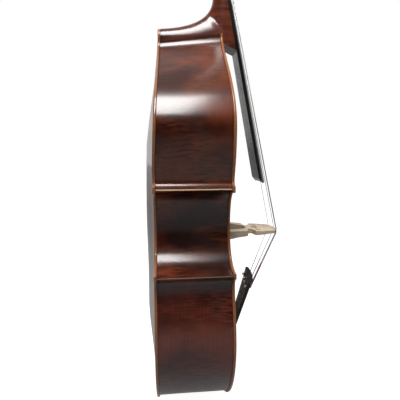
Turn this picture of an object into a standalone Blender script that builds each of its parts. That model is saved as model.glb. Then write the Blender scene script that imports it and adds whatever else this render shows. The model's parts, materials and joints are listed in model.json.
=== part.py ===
"""Double bass, built as a luthier builds it: carved plates, ribs, blocks and linings, a neck with
machine heads, a bridge, tailpiece and strings, and a sliding endpin.  Metres, +Z up.

Lengths on the instrument are written in body coordinates: x towards the treble side, f towards the
player's audience from the front edge of the ribs, and z up from the bottom of the body.  place()
turns them into the part's frame, whose origin is the flat foot of the endpin's rubber tip.
"""
import math

import bmesh
import bpy
from mathutils import Vector

# ---- driving sizes -------------------------------------------------------------------------
GAP = 0.0003                 # between pieces that are glued or seated
ENDPIN_SHOWING = 0.050       # body bottom above the floor with the endpin slid in
BODY_LENGTH = 1.107
RIB_DEPTH = 0.193
RIB_DEPTH_AT_NECK = 0.177
RIB_WALL = 0.0025
OVERHANG = 0.005             # plate edge beyond the ribs
EDGE = 0.008                 # plate thickness at its edge
TOP_ARCH = 0.030
BACK_ARCH = 0.029
GLUE_MARGIN = 0.024          # flat band inside the plate's edge, over ribs and linings

LOWER_HALF = 0.302           # rib half widths and the heights where they lie
LOWER_Z = 0.260
LOWER_CORNER = 0.2865
LOWER_CORNER_Z = 0.448
WAIST_HALF = 0.1905
WAIST_Z = 0.562
UPPER_CORNER = 0.258
UPPER_CORNER_Z = 0.668
UPPER_HALF = 0.2655
UPPER_Z = 0.816
BOTTOM_FLAT = 0.035
SHOULDER_END = 0.037         # rib half width beside the neck root
CORNER_HALF = 0.004          # half the distance between the two ribs at a corner's tip
CORNER_LIP = 0.004           # plate corner beyond the rib corner
BACK_TOP_DROP = 0.0235       # the back ends this much lower than the top does
BUTTON_HALF = 0.028
BUTTON_HEIGHT = 0.041

LINING_WIDTH = 0.018
LINING_THICK = 0.006
CORNER_BLOCK_REACH = 0.060
END_BLOCK_HALF = 0.085
END_BLOCK_HEIGHT = 0.050
NECK_BLOCK_BOTTOM = 1.000

ROOT_HALF = 0.033            # neck root let in between the rib ends
ROOT_BOTTOM = 1.079
FOOT_BOTTOM = 1.062          # front toe of the root, under the fingerboard
NUT_Z = 1.540
NUT_THICK = 0.010
NECK_BACK_AT_NUT = 0.024     # wood behind the fingerboard
NECK_BACK_AT_HEEL = 0.036
HEEL_TOP_Z = 1.230
HEEL_END_Z = 1.125

BOARD_END_Z = 0.660
BOARD_HALF_NUT = 0.0215
BOARD_HALF_END = 0.0465
BOARD_RADIUS = 0.070
BOARD_SIDE = 0.008
BOARD_CREST_NUT = -0.033     # f of the fingerboard's crest at each end
BOARD_CREST_END = 0.156
BOARD_COVE = 0.014

BRIDGE_Z = 0.500
BRIDGE_FOOT = 0.078
BRIDGE_THICK_FOOT = 0.024
BRIDGE_THICK_TOP = 0.007
BRIDGE_CROWN = 0.1993        # f of the bridge's crown
BRIDGE_RADIUS = 0.088

STRING_RADII = {"e": 0.00145, "a": 0.0012, "d": 0.0010, "g": 0.0008}
STRING_SPREAD_BRIDGE = {"e": -0.043, "a": -0.0143, "d": 0.0143, "g": 0.043}
STRING_SPREAD_NUT = {"e": -0.0150, "a": -0.0050, "d": 0.0050, "g": 0.0150}
STRING_SPREAD_TAIL = {"e": -0.0285, "a": -0.0095, "d": 0.0095, "g": 0.0285}
BALL_RADIUS = 0.0042
NUT_RISE = 0.0016            # nut above the fingerboard

TAIL_TOP = Vector((0.0, 0.132, 0.347))
TAIL_LENGTH = 0.300
TAIL_SLOPE = 0.34
TAIL_HALF_TOP = 0.039
TAIL_HALF_END = 0.019
TAIL_SLANT = 0.033           # the bass side of the top end lies this much lower
TAIL_RADIUS = 0.068
TAIL_SIDE = 0.010
TAIL_MIDDLE = 0.0067         # depth of the tail loop's holes below the crest
TAIL_HOLE_BACK = 0.020       # string holes behind the slanted end
TAIL_HOLE = 0.0032
TAILGUT = 0.0022
TAILGUT_X = 0.011
TAILGUT_DEEP = 0.012         # how far the tail loop's ends go into the tailpiece

SADDLE_HALF = 0.030
SADDLE_PROUD = 0.014
SADDLE_DEPTH = 0.012

POST = Vector((0.052, 0.0, 0.474))
POST_RADIUS = 0.009
BAR_X = -0.040
BAR_HALF = 0.0075
BAR_BOTTOM_Z = 0.190
BAR_TOP_Z = 0.900
BAR_HEIGHT = 0.030

PEGBOX_HALF = 0.031
PEGBOX_LEAN = 0.30           # how far f falls for each unit of z
PEGBOX_WALL = 0.013
PEG_HEIGHTS = {"e": 1.584, "g": 1.611, "a": 1.646, "d": 1.673}
PEG_DEPTH = 0.020            # roller axis behind the pegbox's front
PEG_SIDES = {"e": -1, "a": -1, "d": 1, "g": 1}
ROLLER_RADIUS = 0.0065
SCROLL_CENTRE = Vector((0.0, -0.099, 1.777))
SCROLL_STEPS = ((0.043, 0.020), (0.029, 0.0265), (0.015, 0.0325))

GEAR_RADIUS = 0.0140          # pitch line of the gear's teeth
GEAR_THICK = 0.005
GEAR_X = 0.039               # middle of the gear and of the worm, from the pegbox's middle
PLATE_THICK = 0.002
WORM_RADIUS = 0.0046         # pitch line of the worm's thread
WORM_SHAFT = 0.0025
WORM_DISTANCE = 0.019
LUG_Y = 0.0115
LUG_THICK = 0.004
KEY_START = 0.040
KEY_LENGTH = 0.026
KEY_HALF = 0.013

COLLAR_SHANK = 0.0125
COLLAR_FLANGE = 0.019
COLLAR_FLANGE_THICK = 0.004
COLLAR_BOSS = 0.0120
COLLAR_BOTTOM = 0.0235
COLLAR_TOP = 0.105
ROD_RADIUS = 0.0050
ROD_TOP = 0.360
ROD_BOTTOM = 0.010
TIP_RADIUS = 0.0125
TIP_HEIGHT = 0.0220
SCREW_RADIUS = 0.0030
SCREW_Z = 0.0335
SCREW_HEAD = 0.0085

HALF_DEPTH = RIB_DEPTH / 2


# ---- small helpers -------------------------------------------------------------------------
def place(x, f, z):
    """Body coordinates to the part's frame."""
    return Vector((x, -HALF_DEPTH - f, z + ENDPIN_SHOWING))


def mix(a, b, t):
    return a + (b - a) * t


def clear_scene():
    for thing in list(bpy.data.objects):
        bpy.data.objects.remove(thing, do_unlink=True)


def finish(name, color, roughness, metallic=0.0):
    """A Principled material."""
    mat = bpy.data.materials.get(name) or bpy.data.materials.new(name)
    mat.use_nodes = True
    shader = mat.node_tree.nodes["Principled BSDF"]
    shader.inputs["Base Color"].default_value = (*color, 1.0)
    shader.inputs["Roughness"].default_value = roughness
    shader.inputs["Metallic"].default_value = metallic
    return mat


def finishes():
    return {
        "varnished_maple": finish("varnished_maple", (0.17, 0.045, 0.018), 0.22),
        "varnished_spruce": finish("varnished_spruce", (0.30, 0.10, 0.03), 0.25),
        "bare_spruce": finish("bare_spruce", (0.62, 0.45, 0.26), 0.7),
        "bare_maple": finish("bare_maple", (0.66, 0.52, 0.34), 0.55),
        "ebony": finish("ebony", (0.012, 0.010, 0.010), 0.3),
        "steel": finish("steel", (0.45, 0.45, 0.46), 0.3, 1.0),
        "brass": finish("brass", (0.62, 0.46, 0.19), 0.3, 1.0),
        "rubber": finish("rubber", (0.02, 0.02, 0.02), 0.8),
        "gut": finish("gut", (0.05, 0.05, 0.05), 0.5),
    }


def to_object(name, bm, mat, parent=None, at=None):
    """Closes a bmesh into a named object, with its origin at a point of the part's frame."""
    bmesh.ops.recalc_face_normals(bm, faces=bm.faces[:])
    if at is not None and parent is None:
        bmesh.ops.translate(bm, vec=-at, verts=bm.verts[:])
    mesh = bpy.data.meshes.new(name)
    bm.to_mesh(mesh)
    bm.free()
    mesh.shade_smooth()
    mesh.set_sharp_from_angle(angle=math.radians(35))
    if mat is not None:
        mesh.materials.append(mat)
    thing = bpy.data.objects.new(name, mesh)
    bpy.context.scene.collection.objects.link(thing)
    if parent is not None:
        thing.parent = parent
    elif at is not None:
        thing.location = at
    return thing


def helper(name, bm, parent=None):
    """A cutter or a piece to be joined, which is not a node of its own."""
    thing = to_object(name, bm, None, parent)
    thing.hide_render = True
    thing.display_type = "WIRE"
    return thing


def boolean(target, other, operation="DIFFERENCE"):
    mod = target.modifiers.new(operation.lower(), "BOOLEAN")
    mod.operation = operation
    mod.solver = "EXACT"
    mod.object = other


def loft(rings, bm=None):
    """A closed solid through rings of equal length, capped at both ends."""
    bm = bm or bmesh.new()
    rows = [[bm.verts.new(point) for point in ring] for ring in rings]
    count = len(rows[0])
    for low, high in zip(rows, rows[1:]):
        for i in range(count):
            j = (i + 1) % count
            bm.faces.new((low[i], low[j], high[j], high[i]))
    bm.faces.new(rows[0])
    bm.faces.new(rows[-1])
    return bm


def prism(outline, start, end):
    """Extrudes an outline of points from one offset to another."""
    return loft([[p + start for p in outline], [p + end for p in outline]])


def box(low, high, bm=None):
    (x0, y0, z0), (x1, y1, z1) = low, high
    corners = ((x0, y0), (x1, y0), (x1, y1), (x0, y1))
    return loft([[Vector((x, y, z)) for x, y in corners] for z in (z0, z1)], bm)


def turned(profile, axis, centre, sides, bm=None):
    """Rings of (distance along axis, radius) about an axis through centre, capped flat."""
    spin = Vector((0, 0, 1)).rotation_difference(Vector(axis)).to_matrix()
    rings = []
    for along, radius in profile:
        ring = []
        for i in range(sides):
            turn = 2 * math.pi * (i + 0.5) / sides
            ring.append(centre + spin @ Vector((radius * math.cos(turn), radius * math.sin(turn), along)))
        rings.append(ring)
    return loft(rings, bm)


def tube(points, radii, sides):
    """A round tube along points, each with its own radius."""
    rings = []
    side = None
    for i, point in enumerate(points):
        ahead = points[min(i + 1, len(points) - 1)] - points[max(i - 1, 0)]
        ahead.normalize()
        side = side or ahead.orthogonal()
        side = (side - ahead * side.dot(ahead)).normalized()
        up = ahead.cross(side)
        turns = [2 * math.pi * (k + 0.5) / sides for k in range(sides)]
        rings.append([point + (side * math.cos(a) + up * math.sin(a)) * radii[i] for a in turns])
    return loft(rings)


def bezier(a, b, c, d, count):
    """Points and unit tangents along a cubic in the plane of the plates, both ends included."""
    a, b, c, d = (Vector(p) for p in (a, b, c, d))
    found = []
    for i in range(count + 1):
        t = i / count
        s = 1 - t
        point = a * s ** 3 + b * (3 * s * s * t) + c * (3 * s * t * t) + d * t ** 3
        slope = (b - a) * s * s + (c - b) * (2 * s * t) + (d - c) * t * t
        found.append((point, slope.normalized()))
    return found


# ---- the outline ---------------------------------------------------------------------------
def rib_curves():
    """The treble half of the ribs' outer line as (point, tangent): lower bout, waist, upper bout."""
    floor = OVERHANG
    low_tip = LOWER_CORNER_Z - CORNER_HALF
    lower = bezier((BOTTOM_FLAT, floor), (0.19, floor), (LOWER_HALF, LOWER_Z / 2),
                   (LOWER_HALF, LOWER_Z), 7)
    lower += bezier((LOWER_HALF, LOWER_Z), (LOWER_HALF, LOWER_Z + 0.09),
                    (LOWER_CORNER - 0.045, low_tip - 0.024), (LOWER_CORNER, low_tip), 6)[1:]
    waist = bezier((LOWER_CORNER, LOWER_CORNER_Z + CORNER_HALF),
                   (LOWER_CORNER - 0.06, LOWER_CORNER_Z + CORNER_HALF),
                   (WAIST_HALF, LOWER_CORNER_Z + 0.05), (WAIST_HALF, WAIST_Z), 6)
    waist += bezier((WAIST_HALF, WAIST_Z), (WAIST_HALF, UPPER_CORNER_Z - 0.045),
                    (UPPER_CORNER - 0.05, UPPER_CORNER_Z - CORNER_HALF),
                    (UPPER_CORNER, UPPER_CORNER_Z - CORNER_HALF), 6)[1:]
    upper = bezier((UPPER_CORNER, UPPER_CORNER_Z + CORNER_HALF),
                   (UPPER_CORNER - 0.035, UPPER_CORNER_Z + 0.02),
                   (UPPER_HALF, UPPER_Z - 0.11), (UPPER_HALF, UPPER_Z), 5)
    upper += bezier((UPPER_HALF, UPPER_Z), (UPPER_HALF, UPPER_Z + 0.116),
                    (SHOULDER_END - 0.009, BODY_LENGTH - 0.055),
                    (SHOULDER_END, BODY_LENGTH - 0.004), 9)[1:]
    return lower, waist, upper


def shifted(curve, outward):
    """A curve moved sideways, away from the body when outward is positive."""
    return [p + Vector((t.y, -t.x)) * outward for p, t in curve]


def plate_outline():
    """The treble half of a plate's edge, bottom to top, rising all the way."""
    lower, waist, upper = (shifted(curve, OVERHANG) for curve in rib_curves())
    tip_low = LOWER_CORNER + OVERHANG / 2 + CORNER_LIP
    tip_high = UPPER_CORNER + OVERHANG / 2 + CORNER_LIP
    lower[-1] = Vector((tip_low, lower[-1].y + CORNER_LIP / 2))
    waist[0] = Vector((tip_low, waist[0].y))
    waist[-1] = Vector((tip_high, waist[-1].y))
    upper[0] = Vector((tip_high, upper[0].y - CORNER_LIP / 4))
    upper[-1] = Vector((upper[-1].x, BODY_LENGTH))
    return lower + waist + upper


def taper(z):
    """How far the ribs have narrowed between the upper corners and the neck, 0 to 1."""
    start = UPPER_CORNER_Z + CORNER_BLOCK_REACH
    return min(max((z - start) / (BODY_LENGTH - start), 0.0), 1.0)


def back_f(z):
    """f of the back plate's inner plane."""
    return -mix(RIB_DEPTH, RIB_DEPTH_AT_NECK, taper(z))


def back_z(z):
    """Height on the back of what stands at z on the front."""
    return z - BACK_TOP_DROP * taper(z) ** 2


def arch(outline, x, z, height):
    """Rise of a plate's carved arch above its edge, from the distance to the edge."""
    point = Vector((abs(x), z))
    near = min(z - outline[0].y, BODY_LENGTH - z)
    for a, b in zip(outline, outline[1:]):
        along = b - a
        t = min(max((point - a).dot(along) / along.length_squared, 0.0), 1.0)
        near = min(near, (point - a - along * t).length)
    if z < WAIST_Z:
        blend = min(max((z - LOWER_Z) / (WAIST_Z - LOWER_Z), 0.0), 1.0)
        reach = mix(0.330, WAIST_HALF, 0.5 - 0.5 * math.cos(math.pi * blend))
    else:
        blend = min((z - WAIST_Z) / (UPPER_Z - WAIST_Z), 1.0)
        reach = mix(WAIST_HALF, 0.310, 0.5 - 0.5 * math.cos(math.pi * blend))
    share = min(max(near, 0.0) / reach, 1.0)
    rise = height * (0.5 - 0.5 * math.cos(math.pi * share))
    hollow = min(max((near - GLUE_MARGIN) / GLUE_MARGIN, 0.0), 1.0)
    return rise, rise * hollow


PLATE_COLUMNS = (-1, -0.87, -0.64, -0.38, -0.13, 0.13, 0.38, 0.64, 0.87, 1)


def faceted(outline, x, z, height):
    """The arch's two rises at a point as the plate's facets have them."""
    over = next(i for i, p in enumerate(outline) if p.y > z)
    found = []
    for p in (outline[over - 1], outline[over]):
        places = [p.x * share for share in PLATE_COLUMNS]
        right = next(i for i, at in enumerate(places) if at > x)
        ends = [arch(outline, places[i], p.y, height) for i in (right - 1, right)]
        t = (x - places[right - 1]) / (places[right] - places[right - 1])
        found.append([mix(ends[0][k], ends[1][k], t) for k in (0, 1)])
    t = (z - outline[over - 1].y) / (outline[over].y - outline[over - 1].y)
    return [mix(found[0][k], found[1][k], t) for k in (0, 1)]


# ---- the sound box -------------------------------------------------------------------------

def plate_mesh(front):
    """A carved plate as a grid across its outline, one row at each of the outline's points."""
    outline = plate_outline()
    rows = [(p.x, p.y) for p in outline]
    if not front:
        rows.append((BUTTON_HALF, BODY_LENGTH + GAP))
        for step in range(1, 6):
            turn = math.radians(16 * step)
            rise = BUTTON_HEIGHT - BUTTON_HALF + BUTTON_HALF * math.sin(turn)
            rows.append((BUTTON_HALF * math.cos(turn), BODY_LENGTH + rise))
    outer, inner = [], []
    for half, z in rows:
        outer.append([])
        inner.append([])
        for share in PLATE_COLUMNS:
            x = half * share
            if front:
                rise, hollow = arch(outline, x, z, TOP_ARCH)
                outer[-1].append(place(x, EDGE + rise, z))
                inner[-1].append(place(x, hollow, z))
            else:
                rise, hollow = arch(outline, x, z, BACK_ARCH)
                outer[-1].append(place(x, back_f(z) - EDGE - rise, back_z(z)))
                inner[-1].append(place(x, back_f(z) - hollow, back_z(z)))
    rings = [a + b[::-1] for a, b in zip(outer, inner)]
    return loft_grid(rings, len(PLATE_COLUMNS))


def loft_grid(rings, width):
    """As loft, with the two end caps filled by quads between the facing halves of a ring."""
    bm = bmesh.new()
    rows = [[bm.verts.new(point) for point in ring] for ring in rings]
    count = len(rows[0])
    for low, high in zip(rows, rows[1:]):
        for i in range(count):
            j = (i + 1) % count
            bm.faces.new((low[i], low[j], high[j], high[i]))
    for row in (rows[0], rows[-1]):
        for i in range(width - 1):
            bm.faces.new((row[i], row[i + 1], row[count - 2 - i], row[count - 1 - i]))
    return bm


def f_hole_outline(side):
    """An f-hole: a swelling stem on an S curve between a small upper and a large lower eye."""
    centre = bezier((0.066, BRIDGE_Z + 0.082), (0.112, BRIDGE_Z + 0.118),
                    (0.064, BRIDGE_Z - 0.118), (0.114, BRIDGE_Z - 0.086), 20)
    left, right = [], []
    for i, (point, ahead) in enumerate(centre):
        t = i / 20
        width = 0.0040 + 0.0020 * math.sin(math.pi * t)
        for end, eye in ((t, 0.0095), (1 - t, 0.0125)):
            reach = end / 0.09
            if reach < 1:
                width = max(width, eye * math.sqrt(max(1 - (2 * reach - 1) ** 2, 0.12)))
        across = Vector((ahead.y, -ahead.x)) * width
        left.append(point + across)
        right.append(point - across)
    return [place(side * p.x, 0, p.y) for p in left + right[::-1]]


def build_plates(mats):
    top = to_object("top_plate", plate_mesh(True), mats["varnished_spruce"])
    to_object("back_plate", plate_mesh(False), mats["varnished_maple"])
    for side, word in ((-1, "bass"), (1, "treble")):
        bm = prism(f_hole_outline(side), Vector((0, 0.02, 0)), Vector((0, -0.08, 0)))
        boolean(top, helper("cut_f_hole_" + word, bm))
    notch = box(place(-ROOT_HALF - GAP, 0.02, ROOT_BOTTOM - GAP), place(ROOT_HALF + GAP, -0.02, 1.2))
    boolean(top, helper("cut_neck_notch", notch))
    seat = box(place(-SADDLE_HALF - GAP, 0.02, -0.01), place(SADDLE_HALF + GAP, -0.02, SADDLE_DEPTH + GAP))
    boolean(top, helper("cut_saddle_seat", seat))


def wall_rings(outer, inner, side, front_f, back_gap):
    """Rings of a rib: its outer and inner line on the front and on the back."""
    rings = []
    for o, i in zip(outer, inner):
        rings.append([place(side * o.x, front_f, o.y),
                      place(side * o.x, back_f(o.y) + back_gap, back_z(o.y)),
                      place(side * i.x, back_f(i.y) + back_gap, back_z(i.y)),
                      place(side * i.x, front_f, i.y)])
    return rings


def build_ribs(mats):
    bore = turned(((-0.02, COLLAR_SHANK + GAP), (0.15, COLLAR_SHANK + GAP)), (0, 0, 1),
                  place(0, -HALF_DEPTH, 0), 16)
    bore = helper("cut_collar_bore", bore)
    for side, word in ((-1, "bass"), (1, "treble")):
        for part, curve in zip(("lower", "waist", "upper"), rib_curves()):
            outer = shifted(curve, 0)
            inner = shifted(curve, -RIB_WALL)
            if part == "lower":
                outer.insert(0, Vector((GAP / 2, outer[0].y)))
                inner.insert(0, Vector((GAP / 2, inner[0].y)))
            rib = to_object("rib_%s_%s" % (part, word), loft(wall_rings(outer, inner, side, -GAP, GAP)),
                            mats["varnished_maple"])
            if part == "lower":
                boolean(rib, bore)
    return bore


def trimmed(points, start, end):
    """Drops the points of a line that lie within start and end of its two ends."""
    lengths = [0.0]
    for a, b in zip(points, points[1:]):
        lengths.append(lengths[-1] + (b - a).length)
    keep = [p for p, at in zip(points, lengths) if start <= at <= lengths[-1] - end]
    return keep


def near_end(points, reach):
    """The points of a line within reach of its last one, in order."""
    return [p for p in points if (p - points[-1]).length <= reach]


def block(name, corners, mats):
    """A block as deep as the ribs, standing on the plates."""
    front = [place(x, -GAP, z) for x, z in corners]
    back = [place(x, back_f(z) + GAP, back_z(z)) for x, z in corners]
    return to_object(name, loft([front, back]), mats["bare_spruce"])


def build_blocks(mats, bore):
    inside = RIB_WALL + GAP
    lower, waist, upper = (shifted(curve, -inside) for curve in rib_curves())
    for side, word in ((-1, "bass"), (1, "treble")):
        tip = near_end(lower, CORNER_BLOCK_REACH) + near_end(waist[::-1], CORNER_BLOCK_REACH)[::-1]
        block("corner_block_lower_" + word, [(side * p.x, p.y) for p in tip], mats)
        tip = near_end(waist, CORNER_BLOCK_REACH) + near_end(upper[::-1], CORNER_BLOCK_REACH)[::-1]
        block("corner_block_upper_" + word, [(side * p.x, p.y) for p in tip], mats)
    shoulder = [p for p in upper if NECK_BLOCK_BOTTOM <= p.y <= ROOT_BOTTOM - 0.006]
    half = [(p.x, p.y) for p in shoulder] + [(ROOT_HALF, ROOT_BOTTOM - GAP)]
    block("neck_block", [(-x, z) for x, z in half[::-1]] + half, mats)
    floor = [p for p in lower if p.x <= END_BLOCK_HALF + 0.02]
    half = [(p.x, p.y) for p in floor] + [(floor[-1].x, END_BLOCK_HEIGHT)]
    end = block("end_block", [(-x, z) for x, z in half[::-1]] + half, mats)
    boolean(end, bore)


def build_linings(mats):
    reach = CORNER_BLOCK_REACH + 0.006
    ends = {"lower": (END_BLOCK_HALF, reach), "waist": (reach, reach), "upper": (reach, 0.125)}
    for side, word in ((-1, "bass"), (1, "treble")):
        for part, curve in zip(("lower", "waist", "upper"), rib_curves()):
            start, end = ends[part]
            outer = shifted(curve, -RIB_WALL - GAP)
            inner = shifted(curve, -RIB_WALL - LINING_THICK)
            kept = [i for i, p in enumerate(outer) if p in trimmed(outer, start, end)]
            for face in ("top", "back"):
                rings = []
                for i in kept:
                    ring = []
                    for p in (outer[i], inner[i]):
                        front = place(side * p.x, -GAP, p.y)
                        back = place(side * p.x, back_f(p.y) + GAP, back_z(p.y))
                        near, far = (front, back) if face == "top" else (back, front)
                        pair = [near, near + (far - near) * (LINING_WIDTH / RIB_DEPTH)]
                        ring += pair[::-1] if ring else pair
                    rings.append(ring)
                to_object("lining_%s_%s_%s" % (face, part, word), loft(rings), mats["bare_spruce"])


def build_inside(mats):
    """The bass bar under the top and the sound post between the plates."""
    outline = plate_outline()
    rings = []
    sides = (BAR_X - BAR_HALF, BAR_X + BAR_HALF)
    for z in [p.y for p in outline if BAR_BOTTOM_Z < p.y < BAR_TOP_Z]:
        roof = min(faceted(outline, x, z, TOP_ARCH)[1] for x in sides)
        share = (z - BAR_BOTTOM_Z) / (BAR_TOP_Z - BAR_BOTTOM_Z)
        deep = roof - mix(0.006, BAR_HEIGHT, math.sin(math.pi * share) ** 0.7)
        rings.append([place(sides[0], roof - 2 * GAP, z), place(sides[1], roof - 2 * GAP, z),
                      place(sides[1], deep, z), place(sides[0], deep, z)])
    to_object("bass_bar", loft(rings), mats["bare_spruce"])
    around = [(POST.x + dx, POST.z + dz) for dx in (-POST_RADIUS, POST_RADIUS)
              for dz in (-POST_RADIUS, POST_RADIUS)]
    front = min(faceted(outline, x, z, TOP_ARCH)[1] for x, z in around) - 2 * GAP
    back = back_f(POST.z) - min(faceted(outline, x, z, BACK_ARCH)[1] for x, z in around) + 2 * GAP
    low = place(POST.x, front, POST.z)
    length = front - back
    to_object("sound_post", turned(((0, POST_RADIUS), (length, POST_RADIUS)), (0, 1, 0), low, 12),
              mats["bare_spruce"])


# ---- the neck and head ---------------------------------------------------------------------
def board_share(z):
    """0 at the nut, 1 at the fingerboard's free end."""
    return (NUT_Z - z) / (NUT_Z - BOARD_END_Z)


def board_half(z):
    return mix(BOARD_HALF_NUT, BOARD_HALF_END, board_share(z))


def board_crest(z):
    return mix(BOARD_CREST_NUT, BOARD_CREST_END, board_share(z))


def sag(x, radius):
    """How far a round surface of this radius has fallen at x from its crest."""
    return radius - math.sqrt(radius * radius - x * x)


def board_under(z):
    """f of the fingerboard's flat underside, a straight line from nut to end."""
    nut = BOARD_CREST_NUT - sag(BOARD_HALF_NUT, BOARD_RADIUS) - BOARD_SIDE
    end = BOARD_CREST_END - sag(BOARD_HALF_END, BOARD_RADIUS) - BOARD_SIDE
    return mix(nut, end, board_share(z))


def neck_section(base, tip, half, straight):
    """A D: straight sides from the base, then a round back to the tip, 9 points."""
    points = [place(-half, base[0], base[1])]
    for i in range(7):
        turn = math.pi * i / 6
        along = straight + (1 - straight) * math.sin(turn)
        points.append(place(-half * math.cos(turn), mix(base[0], tip[0], along), mix(base[1], tip[1], along)))
    points.append(place(half, base[0], base[1]))
    return points


def neck_sections():
    """Sections from the nut down the shaft, round the toe of the root and back along the heel."""
    top = NUT_Z + NUT_THICK + 0.010
    rings = []
    for i in range(4):
        z = mix(top, HEEL_TOP_Z, i / 4)
        share = min((NUT_Z - z) / (NUT_Z - HEEL_TOP_Z), 1)
        thick = mix(NECK_BACK_AT_NUT, NECK_BACK_AT_HEEL, share)
        base = board_under(z) - GAP
        rings.append(neck_section((base, z), (base - thick, z), board_half(z) - GAP, 0.2))
    heel_tip = (board_under(HEEL_TOP_Z) - GAP - NECK_BACK_AT_HEEL, HEEL_TOP_Z)
    lean = (NECK_BACK_AT_HEEL - NECK_BACK_AT_NUT) / (NUT_Z - HEEL_TOP_Z) + 0.11
    end = back_f(BODY_LENGTH) + GAP
    curve = bezier(heel_tip, (heel_tip[0] + 0.07 * lean, HEEL_TOP_Z - 0.07),
                   (end + 0.095, HEEL_END_Z + 0.006), (end, HEEL_END_Z), 12)
    toe = FOOT_BOTTOM
    down = [(board_under(z) - GAP, z) for z in (HEEL_TOP_Z, 1.185, 1.145, 1.105, toe)]
    along = [(EDGE + 0.006, ROOT_BOTTOM), (-GAP, ROOT_BOTTOM)]
    along += [(mix(-GAP, end, i / 6), ROOT_BOTTOM) for i in range(1, 7)]
    for i, base in enumerate(down + along):
        tip = curve[i][0]
        half = min(board_half(base[1]) - GAP, ROOT_HALF) if i < 4 else ROOT_HALF
        rings.append(neck_section(base, (tip.x, tip.y), half, mix(0.2, 0.3, i / 12)))
    return rings


def pegbox_front(z):
    return board_under(NUT_Z + NUT_THICK) - PEGBOX_LEAN * (z - NUT_Z - NUT_THICK)


PEGBOX_STATIONS = (   # height above the nut, depth, half width
    (0.0105, 0.034, 0.0225), (0.018, 0.040, 0.029), (0.028, 0.045, PEGBOX_HALF), (0.070, 0.047, PEGBOX_HALF),
    (0.120, 0.044, PEGBOX_HALF), (0.165, 0.040, PEGBOX_HALF), (0.190, 0.037, 0.0255), (0.212, 0.036, 0.022))


def pegbox_mesh():
    rings = []
    for rise, depth, half in PEGBOX_STATIONS:
        z = NUT_Z + rise
        front = pegbox_front(z)
        soft = 0.007
        rings.append([place(-half, front, z), place(half, front, z),
                      place(half, front - depth + soft, z), place(half - soft, front - depth, z),
                      place(soft - half, front - depth, z), place(-half, front - depth + soft, z)])
    return loft(rings)


def channel_mesh():
    """The slot that the strings run down into."""
    rings = []
    for rise, depth in ((0.017, 0.002), (0.026, 0.010), (0.035, 0.026), (0.044, 0.034),
                        (0.070, 0.036), (0.120, 0.033), (0.162, 0.026)):
        z = NUT_Z + rise
        half = PEGBOX_HALF - PEGBOX_WALL
        front = pegbox_front(z)
        rings.append([place(-half, front + 0.02, z), place(half, front + 0.02, z),
                      place(half, front - depth, z), place(-half, front - depth, z)])
    return loft(rings)


def peg_axis(name):
    """The roller axis of a string's peg, on the pegbox's middle plane."""
    z = PEG_HEIGHTS[name]
    return place(0, pegbox_front(z) - PEG_DEPTH, z)


def build_neck(mats):
    neck = to_object("neck", loft(neck_sections()), mats["varnished_maple"])
    boolean(neck, helper("join_pegbox", pegbox_mesh()), "UNION")
    for i, (radius, half) in enumerate(SCROLL_STEPS):
        disc = turned(((-half, radius - 0.002), (-half + 0.002, radius), (half - 0.002, radius),
                       (half, radius - 0.002)), (1, 0, 0), place(*SCROLL_CENTRE), 20)
        boolean(neck, helper("join_scroll_%d" % i, disc), "UNION")
    boolean(neck, helper("cut_channel", channel_mesh()))
    holes = bmesh.new()
    for name in PEG_HEIGHTS:
        turned(((-0.06, ROLLER_RADIUS + GAP), (0.06, ROLLER_RADIUS + GAP)), (1, 0, 0), peg_axis(name),
               12, holes)
    boolean(neck, helper("cut_peg_holes", holes))


def arc_points(half, radius, count):
    """x across a round surface and how far it has fallen there."""
    return [(x, sag(x, radius)) for x in (mix(-half, half, i / count) for i in range(count + 1))]


def build_fingerboard(mats):
    rings = []
    for z in (NUT_Z, 1.32, 1.10, 0.88, BOARD_END_Z):
        half = board_half(z)
        ring = []
        for x, fall in arc_points(half, BOARD_RADIUS, 8):
            ring.append(place(x, board_crest(z) - fall, z))
        cove = BOARD_COVE if z == BOARD_END_Z else 0
        ring += [place(half, board_under(z + cove), z + cove), place(-half, board_under(z + cove), z + cove)]
        rings.append(ring)
    to_object("fingerboard", loft(rings), mats["ebony"])
    rings = []
    for z, drop in ((NUT_Z + GAP, 0), (NUT_Z + NUT_THICK - 0.003, 0), (NUT_Z + NUT_THICK, 0.003)):
        ring = []
        for x, fall in arc_points(BOARD_HALF_NUT, BOARD_RADIUS, 8):
            ring.append(place(x, BOARD_CREST_NUT + NUT_RISE - fall - drop, z))
        under = board_under(z) + GAP
        rings.append(ring + [place(BOARD_HALF_NUT, under, z), place(-BOARD_HALF_NUT, under, z)])
    to_object("nut", loft(rings), mats["ebony"])


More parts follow.
